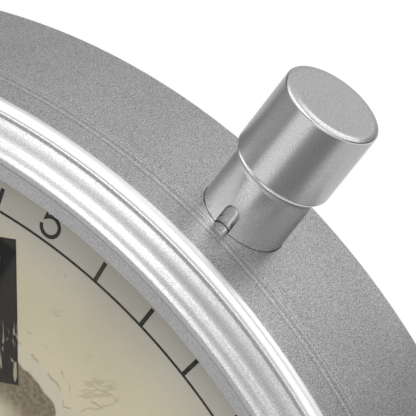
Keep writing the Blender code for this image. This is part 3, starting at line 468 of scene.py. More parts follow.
# Blasted aluminium. The lathe's lines show between two radii, or on the band between two depths.
# The band also has single tool marks and a bright cut edge at its front.
def aluminiumMaterial(name, colour, roughness, lineRange=None, pitch=0, onBand=False):
    contrast, relief = ("contrast", "relief") if onBand else ("turnedContrast", "turnedRelief")
    made, tree, shader, grain = grainedMaterial(
        name, colour, roughness, 1, metal["grainSize"], metal[contrast], metal[relief]
    )
    if lineRange is None:
        return made
    axes = axesOf(tree)
    depth = times(tree, axes["Y"], -1)
    radius = measured(tree, "LENGTH", flatOf(tree, axes))
    inputs = zip(latheInputs, (depth if onBand else radius, *lineRange, pitch, metal["lineFade"]))
    lines = addNode(tree, "Group", dict(inputs), node_tree=latheGroup).outputs["Lines"]
    tone = lifted(tree, grain["Base Color"], lines, metal["lineContrast"])
    if onBand:
        depthInMm = math(tree, "DIVIDE", depth, mm)
        width = metal["markWidth"]
        for mark, sign in metal["toolMarks"]:
            line = bandOf(tree, depthInMm, mark, width, width)
            tone = lifted(tree, tone, line, sign * metal["markContrast"])
        front = span(tree, depth, *metal["brightFrom"])
        outside = span(tree, radius, *metal["brightOutside"], metal["brightInside"], 1)
        cut = times(tree, front, outside)
        tone = mixColour(tree, cut, tone, metal["brightCut"])
        fill(shader, {"Roughness": mixValue(tree, cut, grain["Roughness"], metal["brightRoughness"])})
    relief = bumpOf(tree, lines, metal["lineRelief"], metal["lineDepth"], Normal=grain["Normal"])
    fill(shader, {"Base Color": tone, "Normal": relief})
    return made


bandMaterial = aluminiumMaterial("blastedBand", *metal["band"], onBand=True)
bezelMaterial = aluminiumMaterial("blastedBezel", *metal["bezel"])
buttonMaterial = aluminiumMaterial("blastedButton", *metal["button"])


# Fine rings left by turning stretch what is mirrored along the axis, except on the flat ends
def turnedGloss(material, axis):
    tree = material.node_tree
    shader = tree.nodes["Principled BSDF"]
    facing = addNode(tree, "TexCoord").outputs["Normal"]
    along = math(tree, "ABSOLUTE", measured(tree, "DOT_PRODUCT", facing, axis))
    side = span(tree, along, *metal["sideFade"], 1, 0)
    grained = shader.inputs["Base Color"].links[0].from_socket
    even = times(tree, side, metal["sideSmoothing"])
    looks = {
        "Base Color": mixColour(tree, even, grained, metal["button"][0]),
        "Anisotropic": times(tree, side, metal["buttonStretch"]),
        "Tangent": addNode(tree, "CombineXYZ", dict(zip("XYZ", axis))).outputs[0],
    }
    fill(shader, looks)


turnedGloss(buttonMaterial, buttonAxis)

# Colour, roughness, metallic, grain size in mm, contrast and relief
plain = {
    "blackPowderCoat": ((0.035, 0.035, 0.037), 0.5, 0, 0.4, 0.25, 0.5),
    "brightSteel": ((0.6, 0.6, 0.6), 0.3, 1, 0.3, 0.06, 0.1),
    "brassParts": ((0.74, 0.55, 0.27), 0.32, 1, 0.3, 0.06, 0.1),
    "copperWire": ((0.62, 0.25, 0.1), 0.35, 1, 0.2, 0.2, 0.4),
    "sinteredMagnet": ((0.1, 0.1, 0.105), 0.5, 0.7, 0.2, 0.2, 0.3),
    "whiteNylon": ((0.76, 0.75, 0.7), 0.45, 0, 0.3, 0.03, 0.1),
    "blackPlastic": ((0.022, 0.022, 0.023), 0.42, 0, 0.35, 0.2, 0.6),
    "blackRubber": ((0.03, 0.03, 0.03), 0.75, 0, 0.3, 0.15, 0.3),
    "greySpacer": ((0.55, 0.56, 0.57), 0.5, 0, 0.3, 0.04, 0.1),
    "fibreBoard": ((0.25, 0.17, 0.1), 0.85, 0, 0.8, 0.3, 0.6),
    "greenBoard": ((0.03, 0.17, 0.07), 0.4, 0, 0.5, 0.1, 0.1),
    "cellSleeve": ((0.02, 0.022, 0.025), 0.3, 0, 0.5, 0.08, 0.05),
    "handEnamel": ((0.012, 0.012, 0.013), 0.35, 0, 0.3, 0.1, 0.15),
}
materials = {}
for name, (colour, roughness, metallic, size, contrast, relief) in plain.items():
    materials[name] = grainedMaterial(name, colour, roughness, metallic, size * mm, contrast, relief)[0]
print("metals and plastics made")

# Clear glass that lets light through to the dial without blocking it
glass = {"bend": 1.22, "tint": (0.96, 0.97, 0.965, 1)}


def makeGlass():
    made, tree, shader = newMaterial("clearGlass", (1, 1, 1), 0)
    fill(shader, {"Transmission Weight": 1, "IOR": glass["bend"]})
    clear = addNode(tree, "BsdfTransparent", {"Color": glass["tint"]})
    ray = addNode(tree, "LightPath").outputs
    layered(tree, math(tree, "MAXIMUM", ray["Is Shadow Ray"], ray["Is Diffuse Ray"]), shader, clear)
    return made


# Aged paper: warm beige, with painted shade that greys it towards the rim. Radii and widths are in mm.
# Patches have their noise's scale and detail, the two levels it is cut at and the strengths it gets
# there.
paper = {
    "colour": (0.71, 0.625, 0.45),
    # painted shade: the grey the paper turns near the rim
    "paintedRimShadeColour": (0.64, 0.605, 0.53),
    "blotchColour": (0.25, 0.2, 0.13),
    "paleColour": (0.66, 0.605, 0.48),
    "sepia": (0.14, 0.105, 0.068),
    "sepiaLight": (0.26, 0.21, 0.14),
    "roughness": 0.7,
    "gloss": 0.1,
    "rim": (112, 127),
    "clouds": (28, 5, 0.45, 0.75, 0, 0.16),
    "strokeStretch": (0.3, 1, 1),
    "strokeNoise": (190, 3),
    "strokeBand": (0.5, 0.004, 0.02),
    "strokePatches": (75, 1, 0.52, 0.62, 0, 0.3),
    "strokeEnd": (108, 120),
    "fibreScale": 2600,
    "fibres": (0.3, 0.7, 0, 0.12),
    "fibreRelief": (0.1, 0.05 * mm),
    "specks": (420, 1, 0.72, 0.76, 0, 0.3),
}

# The sepia medallion in the middle of the dial
motif = {
    "wobble": (120, 3, 0.3, 0.7, -1.3, 1.3),
    "breaks": (260, 2, 0.44, 0.62, 0, 0.5),
    "mottle": (900, 4),
    "mottleRoughness": 0.7,
    "mottleLevels": (0.38, 0.62),
    "scallops": 22,
    "scallopPower": 0.6,
    "rings": ((94, 4), (71, 3.2), (44, 2.4)),  # radius and depth
    "border": (1.6, 1.2, 0.8),
    "borderStrength": 0.8,
    "outlines": (3.4, 6.3),
    "outlineWidth": (0.1, 0.25),
    "fillEdge": (-0.5, 0.3),
    "fillFade": (-15, -7, 0.15, 0.95),
    "rays": 88,
    "rayLevels": (0.55, 0.9),
    "rayEnd": (28, 31),
}

ink = {
    "colour": (0.018, 0.015, 0.011),
    "brown": (0.05, 0.034, 0.021),
    "roughness": 0.55,
    "brownPatches": (55, 2, 0.56, 0.66),
    "scratchStretch": (1, 1, 0.25),
    "scratchNoise": (950, 3),
    "scratchBend": 0.6,
    "scratchLevels": (0.57, 0.64),
    "wornPatches": (70, 1, 0.45, 0.6),
    "trackWear": 0.15,
    "hourWear": 0.55,
}


# Scalloped rings with a mottled fill, a pale border and broken outlines, round a core of rays
def makeMedallion(tree, colour, flat, radius, angle):
    wobble = patches(tree, flat, *motif["wobble"], "LINEAR")
    mottle = noiseOf(tree, flat, *motif["mottle"], Roughness=motif["mottleRoughness"])
    mottle = span(tree, mottle, *motif["mottleLevels"])
    sepia = mixColour(tree, mottle, paper["sepia"], paper["sepiaLight"])
    broken = patches(tree, flat, *motif["breaks"])
    wave = math(tree, "COSINE", times(tree, angle, motif["scallops"] / 2))
    wave = math(tree, "POWER", math(tree, "ABSOLUTE", wave), motif["scallopPower"])
    for ringRadius, depth in motif["rings"]:
        edge = math(tree, "MULTIPLY_ADD", wave, depth, ringRadius)
        beyond = math(tree, "SUBTRACT", radius, math(tree, "ADD", edge, wobble))
        pale = times(tree, bandOf(tree, beyond, *motif["border"]), motif["borderStrength"])
        colour = mixColour(tree, pale, colour, paper["paleColour"])
        for far in motif["outlines"]:
            line = times(tree, bandOf(tree, beyond, far, *motif["outlineWidth"]), broken)
            colour = mixColour(tree, line, colour, paper["blotchColour"])
        inside = span(tree, beyond, *motif["fillEdge"], 1, 0)
        inside = times(tree, inside, span(tree, beyond, *motif["fillFade"]))
        colour = mixColour(tree, inside, colour, sepia)
    ray = math(tree, "COSINE", times(tree, angle, motif["rays"]))
    core = span(tree, radius, *motif["rayEnd"], 1, 0)
    ray = times(tree, span(tree, ray, *motif["rayLevels"]), core)
    return mixColour(tree, times(tree, ray, broken), colour, paper["sepia"])


def makePaper():
    made, tree, shader = newMaterial("agedPaper", paper["colour"], paper["roughness"])
    axes = axesOf(tree)
    flat = flatOf(tree, axes)
    radius = math(tree, "DIVIDE", measured(tree, "LENGTH", flat), mm)
    angle = math(tree, "ARCTAN2", axes["X"], axes["Z"])
    blotch = paper["blotchColour"]
    # Painted shade: the paper greys between the rim radii
    colour = mixColour(tree, span(tree, radius, *paper["rim"]), paper["colour"], paper["paintedRimShadeColour"])
    colour = mixColour(tree, patches(tree, flat, *paper["clouds"]), colour, blotch)
    # Faint worn strokes, longer than they are high
    stroke = noiseOf(tree, stretched(tree, flat, paper["strokeStretch"]), *paper["strokeNoise"])
    stroke = bandOf(tree, stroke, *paper["strokeBand"])
    stroke = times(tree, stroke, patches(tree, flat, *paper["strokePatches"]))
    stroke = times(tree, stroke, span(tree, radius, *paper["strokeEnd"], 1, 0))
    colour = mixColour(tree, stroke, colour, blotch)
    colour = makeMedallion(tree, colour, flat, radius, angle)
    fibres = noiseOf(tree, flat, paper["fibreScale"])
    colour = mixColour(tree, span(tree, fibres, *paper["fibres"], "LINEAR"), colour, blotch)
    looks = {
        "Base Color": mixColour(tree, patches(tree, flat, *paper["specks"]), colour, blotch),
        "Specular IOR Level": paper["gloss"],
        "Normal": bumpOf(tree, fibres, *paper["fibreRelief"]),
    }
    fill(shader, looks)
    return made


# Printing ink, browner in patches and worn through to the paper in fine scratches
def makeInk(name, wear):
    made, tree, shader = newMaterial(name, ink["colour"], ink["roughness"])
    place = objectPlace(tree)
    tone = mixColour(tree, patches(tree, place, *ink["brownPatches"]), ink["colour"], ink["brown"])
    along = stretched(tree, place, ink["scratchStretch"])
    scratches = noiseOf(tree, along, *ink["scratchNoise"], Distortion=ink["scratchBend"])
    lost = span(tree, scratches, *ink["scratchLevels"], 0, wear)
    lost = times(tree, lost, patches(tree, place, *ink["wornPatches"]))
    colour = mixColour(tree, lost, tone, paper["colour"])
    fill(shader, {"Base Color": colour, "Specular IOR Level": paper["gloss"]})
    return made


clearGlass = makeGlass()
agedPaper = makePaper()
trackInk = makeInk("trackInk", ink["trackWear"])
hourInk = makeInk("hourInk", ink["hourWear"])
print("glass, paper and ink made")

case = {
    "outerRadius": radiusOf("case_band"),
    "front": frontOf("case_band"),
    "dialFace": frontOf("dial"),
}

# Case band, with a fine raised line between its mouth and its bead
band = {
    "steps": 512,
    "mouthRadius": 146.3 * mm,
    "mouthLine": ((0, -0.04, 0.12), (0.5, -0.01, 0.04), (0.62, -0.11, 0.04)),
    "beadRadius": 2 * mm,
    "beadMiddle": 146.56 * mm,
    "beadArc": (71, 10, 14),  # from, to and steps
    "frontRadius": 148.7 * mm,
    "shoulderFrom": 40 * mm,
    "shoulderBend": 32,
    "backChamfer": 0.5 * mm,
    "bore": 145.2 * mm,
    "recessRadius": 139.2 * mm,
    "ledgeBore": 134 * mm,
    "ledgeThick": 1.8 * mm,
    "flangeBore": 138 * mm,
    "flangeThick": 3 * mm,
    "coverRadius": 147 * mm,
    "coverSeat": 3.6 * mm,
    "seatGap": 0.25 * mm,
    "wallRows": 64,
    "holeRadius": 9.47 * mm,
    "holeReach": (130 * mm, 190 * mm),
    "holeSides": 128,
}

# The button, whose keyway takes a key in the band's hole
button = {
    "steps": 256,
    "top": 181.4 * mm,
    "capRadius": 10.75 * mm,
    "capFoot": 163.5 * mm,
    "endSlope": 1.35 * mm,  # the end falls away towards its rim
    "endDrop": 0.45 * mm,
    "endRound": 3,  # these three roundings in mm
    "rimRound": 0.7,
    "footRound": 0.9,
    "footWidth": 0.85 * mm,
    "footSlope": 0.02 * mm,
    "neckDrop": 0.2 * mm,
    "neckInset": 0.5 * mm,
    "stemRadius": 9.35 * mm,
    "filletRadius": 2.2 * mm,
    "filletSteps": 8,
    "stemEnd": 141 * mm,
    "rodRadius": 2.5 * mm,
    "rodEnd": 126 * mm,
    "keywayRadius": 1.85 * mm,
    "keywayAxis": 9.5 * mm,
    "keywayTop": 154.7 * mm,
    "keywayFoot": 130 * mm,
    "keywaySteps": 48,
    "keyClear": 0.2 * mm,
    "keyReach": (100 * mm, 200 * mm),
    "keySides": 32,
}
keywayPlace = buttonPlace @ Matrix.Translation((0, -button["keywayAxis"], 0))


def makeCaseBand():
    outer, front = case["outerRadius"], case["front"]
    bead = band["beadRadius"]
    beadY = front - bead
    ledgeFront = backOf("dial_board") - band["seatGap"]
    ledgeBack = ledgeFront - band["ledgeThick"]
    seat = backOf("bezel_ring") - band["seatGap"]
    flangeFront = band["coverSeat"] + band["flangeThick"]
    corners = cornersAt(band["mouthRadius"], front, band["mouthLine"])
    corners += arc(band["beadMiddle"], beadY, bead, *band["beadArc"])
    chamfer = band["backChamfer"]
    wallTop = corners[-1][1]
    for row in range(1, band["wallRows"]):
        depth = wallTop + (chamfer - wallTop) * row / band["wallRows"]
        radius = outer + (band["frontRadius"] - outer) * (depth - chamfer) / (beadY - chamfer)
        bend = max(0, depth - band["shoulderFrom"]) ** 2 * band["shoulderBend"]
        corners.append((radius - bend, depth, 0))
    corners += [
        (outer, chamfer, 0.2),
        (outer - chamfer, 0, 0.1),
        (band["coverRadius"], 0, 0.15),
        (band["coverRadius"], band["coverSeat"], 0.05),
        (band["flangeBore"], band["coverSeat"], 0.2),
        (band["flangeBore"], flangeFront, 0.2),
        (band["bore"], flangeFront, 0.3),
        (band["bore"], ledgeBack, 0.3),
        (band["ledgeBore"], ledgeBack, 0.2),
        (band["ledgeBore"], ledgeFront, 0.2),
        (band["recessRadius"], ledgeFront, 0.05),
        (band["recessRadius"], seat, 0.15),
        (band["mouthRadius"], seat, 0.1),
    ]
    piece = turned("caseBand", rounded(corners, 4), band["steps"])
    outline = circlePoints(band["holeRadius"], band["holeSides"])
    hole = slab("holeTool", outline, *band["holeReach"], buttonPlace)
    outline = circlePoints(button["keywayRadius"] - button["keyClear"], button["keySides"])
    carve(hole, slab("keyTool", outline, *button["keyReach"], keywayPlace))
    carve(piece, hole)
    finish(smooth(piece), bandMaterial, "case", "satin_aluminium", "case_band")


makeCaseBand()
print("case band made")

# Bezel: from the joint up a flank with soft rolls, over the ridge and down to the lip
bezel = {
    "steps": 512,
    "collarRadius": 146.2 * mm,
    "collarDrop": 0.2 * mm,
    "collarSlope": 0.03 * mm,
    "glassGap": 0.4 * mm,
    "lipRadius": 135.5 * mm,
    "lipThick": 0.8 * mm,
    "lipDrop": 3.4 * mm,
    # two fine lines, the lip's slope and its edge
    "lipSteps": (
        (3.62, 0.75, 0.06), (3.5, 0.6, 0.03), (3.36, 0.76, 0.05),
        (2.5, 0.56, 0.03), (2.41, 0.44, 0.02), (2.3, 0.5, 0.03), (0, -0.05, 0.15),
    ),
    "ridgeRadius": 140.95 * mm,
    "ridgeRound": 1.1 * mm,
    "ridgeArc": (45, 158, 18),  # from, to and steps
    "flankFoot": (0.06 * mm, 0.12 * mm),
    "flankRows": 64,
    "swing": 0.115,
    "swingPhase": (0.07, 2.69, 1.73),  # its shift, and how it grows with the way and its square
    "bulge": 0.1 * mm,
}


# A line from the joint to the ridge whose slope swings to and fro, faster towards the ridge
def flankCurve(start, end):
    a, b = Vector(start), Vector(end)
    length = (b - a).length
    outwards = Vector((b.y - a.y, a.x - b.x)).normalized()
    rows = bezel["flankRows"]
    shift, slow, fast = bezel["swingPhase"]
    offsets = [0]
    for row in range(rows):
        u = (row + 0.5) / rows - shift
        phase = pi * (slow * u + fast * u * u)
        offsets.append(offsets[-1] - bezel["swing"] * cos(phase) * length / rows)
    points = []
    for row in range(rows + 1):
        t = row / rows
        offset = offsets[row] - offsets[-1] * t + bezel["bulge"] * 4 * t * (1 - t)
        point = a.lerp(b, t) + outwards * offset
        points.append((point.x, point.y, 0))
    return points


def makeBezel():
    outer, top, foot = radiusOf("bezel_ring"), frontOf("bezel_ring"), backOf("bezel_ring")
    bore = radiusOf("lens_glass") + bezel["glassGap"]
    joint = case["front"]
    under = joint - bezel["collarDrop"]
    lip, collar, ridge = bezel["lipRadius"], bezel["collarRadius"], bezel["ridgeRound"]
    lipFront = top - bezel["lipDrop"]
    lipBack = lipFront - bezel["lipThick"]
    over = arc(bezel["ridgeRadius"], top - ridge, ridge, *bezel["ridgeArc"])
    inset, rise = bezel["flankFoot"]
    corners = flankCurve((outer - inset, joint + rise), over[0][:2])[:-1] + over
    corners += cornersAt(lip, lipFront, bezel["lipSteps"])
    corners += [
        (lip, lipBack, 0.1),
        (bore, lipBack, 0.1),
        (bore, foot, 0.2),
        (collar, foot, 0.2),
        (collar, under, 0.05),
        (outer, under + bezel["collarSlope"], 0.05),
        (outer, joint, 0.1),
    ]
    piece = turned("bezelRing", rounded(corners, 4), bezel["steps"])
    finish(piece, bezelMaterial, "case", "satin_aluminium", "bezel_ring")


makeBezel()
print("bezel made")

# Flat layers that fill their node's box: piece, node, material, slot, eased edge in mm and bore
layerSteps = 384
layerEdgeSteps = 3
bushingHole = 4.4 * mm
gasketBore = radiusOf("lens_gasket") - 1.9 * mm
spacerBore = radiusOf("dial_spacer") - 1.5 * mm
layers = (
    ("lensGlass", "lens_glass", clearGlass, "clear_glass", 0.2, 0),
    ("lensGasket", "lens_gasket", materials["blackRubber"], "black_rubber", 0.1, gasketBore),
    ("dialSpacer", "dial_spacer", materials["greySpacer"], "grey_plastic", 0.1, spacerBore),
    ("dialSheet", "dial", agedPaper, "aged_paper", 0.05, bushingHole),
    ("dialBoard", "dial_board", materials["fibreBoard"], "fibre_board", 0.2, bushingHole),
)
for name, node, material, slot, edge, bore in layers:
    radius, front, back = radiusOf(node), frontOf(node), backOf(node)
    corners = [(bore, front, 0), (radius, front, edge), (radius, back, edge), (bore, back, 0)]
    piece = turned(name, rounded(corners, layerEdgeSteps), layerSteps)
    finish(piece, material, "case", slot, node)
print("glass, dial and board made")

# Print on the dial: a minute track with ticks and numerals, and tall hour numerals
track = {
    "radius": 124.3 * mm,
    "steps": 720,
    "lineWidth": 0.55 * mm,
    "tickLength": 4.9 * mm,
    "tickWidth": 0.95 * mm,
    "numeralBase": 125.2 * mm,
    "numeralTurn": radians(-0.28),
    "height": 7.6 * mm,
    "half": 2.15 * mm,
    "pen": 0.85 * mm,
}
hours = {
    "radius": 105.8 * mm,
    "turn": radians(-0.8),
    "lean": radians(3.4),
    "height": 31 * mm,
    "half": 4.4 * mm,
    "pen": 4.6 * mm,
}
# Numerals are drawn with a pen's flat strokes
strokes = {"lift": 0.03 * mm, "mitreLimit": 0.6, "digitGap": 1.9, "bowl": 0.314}


# A flat ring of the track's line
def makeTrackLine():
    half, steps = track["lineWidth"] / 2, track["steps"]
    work = bmesh.new()
    rims = []
    for radius in (track["radius"] - half, track["radius"] + half):
        rims.append([work.verts.new((x, y, 0)) for x, y in circlePoints(radius, steps)])
    for i in range(steps):
        j = (i + 1) % steps
        work.faces.new((rims[0][i], rims[1][i], rims[1][j], rims[0][j]))
    return meshOf(work, "track")


# Lay flat drawings on the dial's face as one
def printed(name, drawings, material):
    work = bmesh.new()
    for drawing in drawings:
        work.from_mesh(drawing)
    mesh = meshOf(work, name)
    mesh.transform(Matrix.Translation((0, 0, case["dialFace"] + strokes["lift"])))
    mesh.transform(clockPlace)
    finish(newObject(name, mesh), material, "case", "aged_paper")


# The pen's path through a numeral that stands on the origin
def strokesOf(digit, half, height, pen):
    bottom, top, middle = pen / 2, height - pen / 2, height / 2
    bowl = (height - pen) * strokes["bowl"]
    ring = (height - pen) / 4
    low, high, lower = bottom + bowl, top - bowl, bottom + ring
    return {
        "0": [bow(0, middle, half, middle - bottom, 90, 450, 36)],
        "1": [[(0, 0), (0, height)], [(-half * 0.95, top - half * 1.5), (pen * 0.1, top + pen * 0.2)]],
        "2": [bow(0, high, half, bowl, 165, -35) + [(-half * 0.9, bottom), (half + pen / 2, bottom)]],
        "3": [bow(0, top - ring, half, ring, 150, -90), bow(0, lower, half, ring, 90, -150)],
        "4": [[(half * 0.4, 0), (half * 0.4, top), (-half, height * 0.3), (half * 1.1, height * 0.3)]],
        "5": [bow(0, low, half, bowl, -172, 148, 30) + [(-half * 0.74, top), (half, top)]],
        "6": [bow(0, low, half, bowl, 0, 360, 30), bow(0, low, half, top - low, 180, 60, 14)],
        "7": [[(-half - pen / 2, top), (half, top), (-half * 0.3, 0)]],
        "8": [bow(0, top - ring, half * 0.9, ring, 90, 450, 30), bow(0, lower, half, ring, 90, 450, 30)],
        "9": [bow(0, high, half, bowl, 0, 360, 30), bow(0, high, half, high - bottom, 0, -120, 14)],
    }[digit]


# A flat ribbon of the pen's width along a path
def inked(work, path, pen, shift):
    points = [Vector(point) for point in path]
    sides = []
    for i, point in enumerate(points):
        before = (point - points[i - 1]).normalized() if i else None
        after = (points[i + 1] - point).normalized() if i < len(points) - 1 else None
        along = ((before or after) + (after or before)).normalized()
        widen = 1 / max(strokes["mitreLimit"], along.dot(after or before))
        aside = Vector((-along.y, along.x)) * (pen / 2 * widen)
        middle = point + Vector((shift, 0))
        sides.append([work.verts.new((*(middle + aside * side), 0)) for side in (-1, 1)])
    for here, there in zip(sides, sides[1:]):
        work.faces.new((here[0], there[0], there[1], here[1]))


# A number as a flat mesh, standing on the origin and centred on it
def numeralMesh(text, look):
    half, height, pen = look["half"], look["height"], look["pen"]
    advance = 2 * half + strokes["digitGap"] * pen
    work = bmesh.new()
    for i, digit in enumerate(text):
        for path in strokesOf(digit, half, height, pen):
            inked(work, path, pen, (i - (len(text) - 1) / 2) * advance)
    return meshOf(work, "numeral")


# Copies of a mesh round the axis, one for each step, leaving out every so many
def ringOfCopies(name, mesh, count, radius, skipEvery):
    labels = ("Geometry", "Count", "Radius", "Skip")
    tree, given, result = newGroup(name, labels, ("Geometry",), "GeometryNodeTree")
    points = {"Vertices": given["Count"], "Radius": given["Radius"]}
    circle = addNode(tree, "GeometryNodeMeshCircle", points)
    index = tree.nodes.new("GeometryNodeInputIndex").outputs[0]
    rest = math(tree, "MODULO", index, given["Skip"])
    turn = times(tree, math(tree, "DIVIDE", index, given["Count"]), tau)
    inputs = {
        "Points": circle.outputs[0],
        "Selection": math(tree, "GREATER_THAN", rest, 0.5),
        "Instance": given["Geometry"],
        "Rotation": addNode(tree, "CombineXYZ", {"Z": turn}).outputs[0],
    }
    copies = addNode(tree, "GeometryNodeInstanceOnPoints", inputs)
    real = addNode(tree, "GeometryNodeRealizeInstances", {0: copies.outputs[0]})
    fill(result, {0: real.outputs[0]})
    maker = newObject(name, mesh)
    step = maker.modifiers.new("copies", "NODES")
    step.node_group = tree
    for label, value in zip(labels[1:], (count, radius, skipEvery)):
        step[tree.interface.items_tree[label].identifier] = value
    applyModifiers(maker)
    made = maker.data
    bpy.data.objects.remove(maker)
    return made


def makeMinuteTrack():
    ring = makeTrackLine()
    far, wide = track["tickLength"], track["tickWidth"] / 2
    work = bmesh.new()
    corners = ((0, -wide, 0), (far, -wide, 0), (far, wide, 0), (0, wide, 0))
    work.faces.new([work.verts.new(corner) for corner in corners])
    ticks = ringOfCopies("minuteTicks", meshOf(work, "tick"), 60, track["radius"], 5)
    numerals = []
    for minute in range(5, 61, 5):
        mesh = numeralMesh(str(minute), track)
        mesh.transform(Matrix.Translation((0, track["numeralBase"], 0)))
        mesh.transform(Matrix.Rotation(-tau * minute / 60 - track["numeralTurn"], 4, "Z"))
        numerals.append(mesh)
    printed("minuteTrack", [ring, ticks] + numerals, trackInk)


def makeHourNumerals():
    numerals = []
    for hour in range(1, 13):
        mesh = numeralMesh(str(hour), hours)
        mesh.transform(Matrix.Translation((0, -hours["height"] / 2, 0)))
        mesh.transform(Matrix.Rotation(-hours["lean"], 4, "Z"))
        angle = tau * hour / 12 + hours["turn"]
        centre = (hours["radius"] * sin(angle), hours["radius"] * cos(angle), 0)
        mesh.transform(Matrix.Translation(centre))
        numerals.append(mesh)
    printed("hourNumerals", numerals, hourInk)


makeMinuteTrack()
makeHourNumerals()
print("dial print made")


def makeButton():
    capFoot, top = button["capFoot"], button["top"]
    capRadius, stem, fillet = button["capRadius"], button["stemRadius"], button["filletRadius"]
    neck = capFoot - button["neckDrop"]
    lean = acos((stem + fillet - capRadius + button["neckInset"]) / fillet)
    corners = [
        (0, top, 0),
        (capRadius - button["endSlope"], top, button["endRound"]),
        (capRadius, top - button["endDrop"], button["rimRound"]),
        (capRadius, capFoot, button["footRound"]),
        (capRadius - button["footWidth"], capFoot - button["footSlope"], 0.03),
    ]
    for step in range(button["filletSteps"] + 1):
        angle = pi - lean + lean * step / button["filletSteps"]
        corners.append((stem + fillet + fillet * cos(angle), neck - fillet + fillet * sin(angle), 0))
    corners += [
        (stem, button["stemEnd"], 0.4),
        (button["rodRadius"], button["stemEnd"], 0.1),
        (button["rodRadius"], button["rodEnd"], 0.3),
        (0, button["rodEnd"], 0),
    ]
    piece = turned("pushButton", rounded(corners, 8), button["steps"], buttonPlace)
    radius = button["keywayRadius"]
    middle = button["keywayTop"] - radius
    quarter = button["keywaySteps"] // 4
    turns = [pi / 2 * i / quarter for i in range(1, quarter)]
    section = [(0, button["keywayTop"])]
    section += [(radius * sin(turn), middle + radius * cos(turn)) for turn in turns]
    section += [(radius, middle), (radius, button["keywayFoot"]), (0, button["keywayFoot"])]
    carve(piece, turned("grooveTool", section, button["keywaySteps"], keywayPlace))
    finish(smooth(piece), buttonMaterial, "button", "satin_aluminium", "pusher_button")


makeButton()
print("push button made")

# Screws of the rear cover, with crossed recesses
screw = {
    "steps": 48,
    "headRadius": 2.9 * mm,
    "headBack": 0.4 * mm,
    "headFront": 2.05 * mm,
    "headEdge": 0.8 * mm,
    "dome": 0.12 * mm,
    "domeShare": 0.6,
    "shankRadius": 1.5 * mm,
    "tip": 7.9 * mm,
    "tipLength": 0.8 * mm,
    "circle": 142.5 * mm,
    "slotLength": 3 * mm,
    "slotWidth": 0.7 * mm,
    "slotDepth": 0.9 * mm,
    "slotRise": 1 * mm,
}


def makeScrews():
    back, head, shank, tip = screw["headBack"], screw["headRadius"], screw["shankRadius"], screw["tip"]
    corners = [
        (0, back, 0),
        (head * screw["domeShare"], back + screw["dome"], 0.8),
        (head, back + screw["headEdge"], 0.4),
        (head, screw["headFront"], 0.1),
        (shank, screw["headFront"], 0.1),
        (shank, tip - screw["tipLength"], 0.1),
        (shank / 2, tip, 0.1),
        (0, tip, 0),
    ]
    piece = turned("coverScrews", rounded(corners, 3), screw["steps"], Matrix())
    half, wide = screw["slotLength"] / 2, screw["slotWidth"] / 2
    outline = [(-half, -wide), (half, -wide), (half, wide), (-half, wide)]
    places = [Matrix.Rotation(turn, 4, "Z") for turn in (pi / 4, pi * 3 / 4)]
    low, high = back - screw["slotRise"], back + screw["slotDepth"]
    carve(piece, *[slab("slotTool", outline, low, high, place) for place in places])
    ring = ringOfCopies("screwRing", piece.data, 8, screw["circle"], 2)
    bpy.data.objects.remove(piece)
    ring.transform(clockPlace)
    made = smooth(newObject("coverScrews", ring))
    covered = ["rear_cover_screw_%d" % i for i in range(1, 5)]
    finish(made, materials["brightSteel"], "case", "bright_steel", *covered)


makeScrews()

# Nodes drawn in their own form with the edges eased: material and width in mm
easing = {"segments": 2, "angle": 35, "flatAngle": 1}
easedNodes = {
    "rear_cover": ("blackPowderCoat", 0.3),
    "movement_front": ("blackPlastic", 0.4),
    "movement_back": ("blackPlastic", 0.4),
    "battery_cell": ("cellSleeve", 0.4),
    "clamp_nut": ("brassParts", 0.3),
    "clamp_washer": ("brassParts", 0.1),
    "hour_hand": ("handEnamel", 0.12),
    "minute_hand": ("handEnamel", 0.12),
    "second_hand": ("handEnamel", 0.08),
}


def makeEased(node, material, width):
    name = node[0] + node.title().replace("_", "")[1:]
    work = bmesh.new()
    work.from_mesh(nodes[node].data)
    bmesh.ops.remove_doubles(work, verts=work.verts, dist=mergeDistance)
    nearlyFlat = radians(easing["flatAngle"])
    bmesh.ops.dissolve_limit(work, angle_limit=nearlyFlat, verts=work.verts, edges=work.edges)
    piece = newObject(name, meshOf(work, name))
    step = piece.modifiers.new("edges", "BEVEL")
    step.width = width
    step.segments = easing["segments"]
    step.limit_method = "ANGLE"
    step.angle_limit = radians(easing["angle"])
    step.harden_normals = False
    applyModifiers(piece)
    slot = nodes[node].data.materials[0].name
    finish(smooth(piece, easing["angle"]), material, nodes[node]["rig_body"], slot, node)


for node, (material, width) in easedNodes.items():
    makeEased(node, materials[material], width * mm)
print("screws, cover, movement case and hands made")


# The return spring in its node's own shape, on a mesh of its own
def makeSpring():
    mesh = nodes["pusher_spring"].data.copy()
    piece = smooth(newObject("returnSpring", mesh))
    finish(piece, materials["brightSteel"], "case", "bright_steel", "pusher_spring")
    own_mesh(piece)


makeSpring()
print("spring made")

# Materials of the nodes that keep their own shape
keptNodes = {
    "brightSteel": (
        "pusher_sleeve", "pusher_guide_pin", "pusher_clip", "quartz_crystal", "coil_core", "stator",
        "battery_contact_plus", "battery_contact_minus",
    ),
    "whiteNylon": ("intermediate_wheel", "seconds_wheel", "third_wheel", "motion_wheel", "setting_wheel"),
    "brassParts": ("centre_wheel", "hour_wheel"),
    "blackRubber": ("cushion_washer",),
    "greenBoard": ("circuit_board",),
    "copperWire": ("coil_winding",),
    "sinteredMagnet": ("rotor",),
}
for material, kept in keptNodes.items():
    for node in kept:
        nodes[node].data.materials.clear()
        nodes[node].data.materials.append(materials[material])
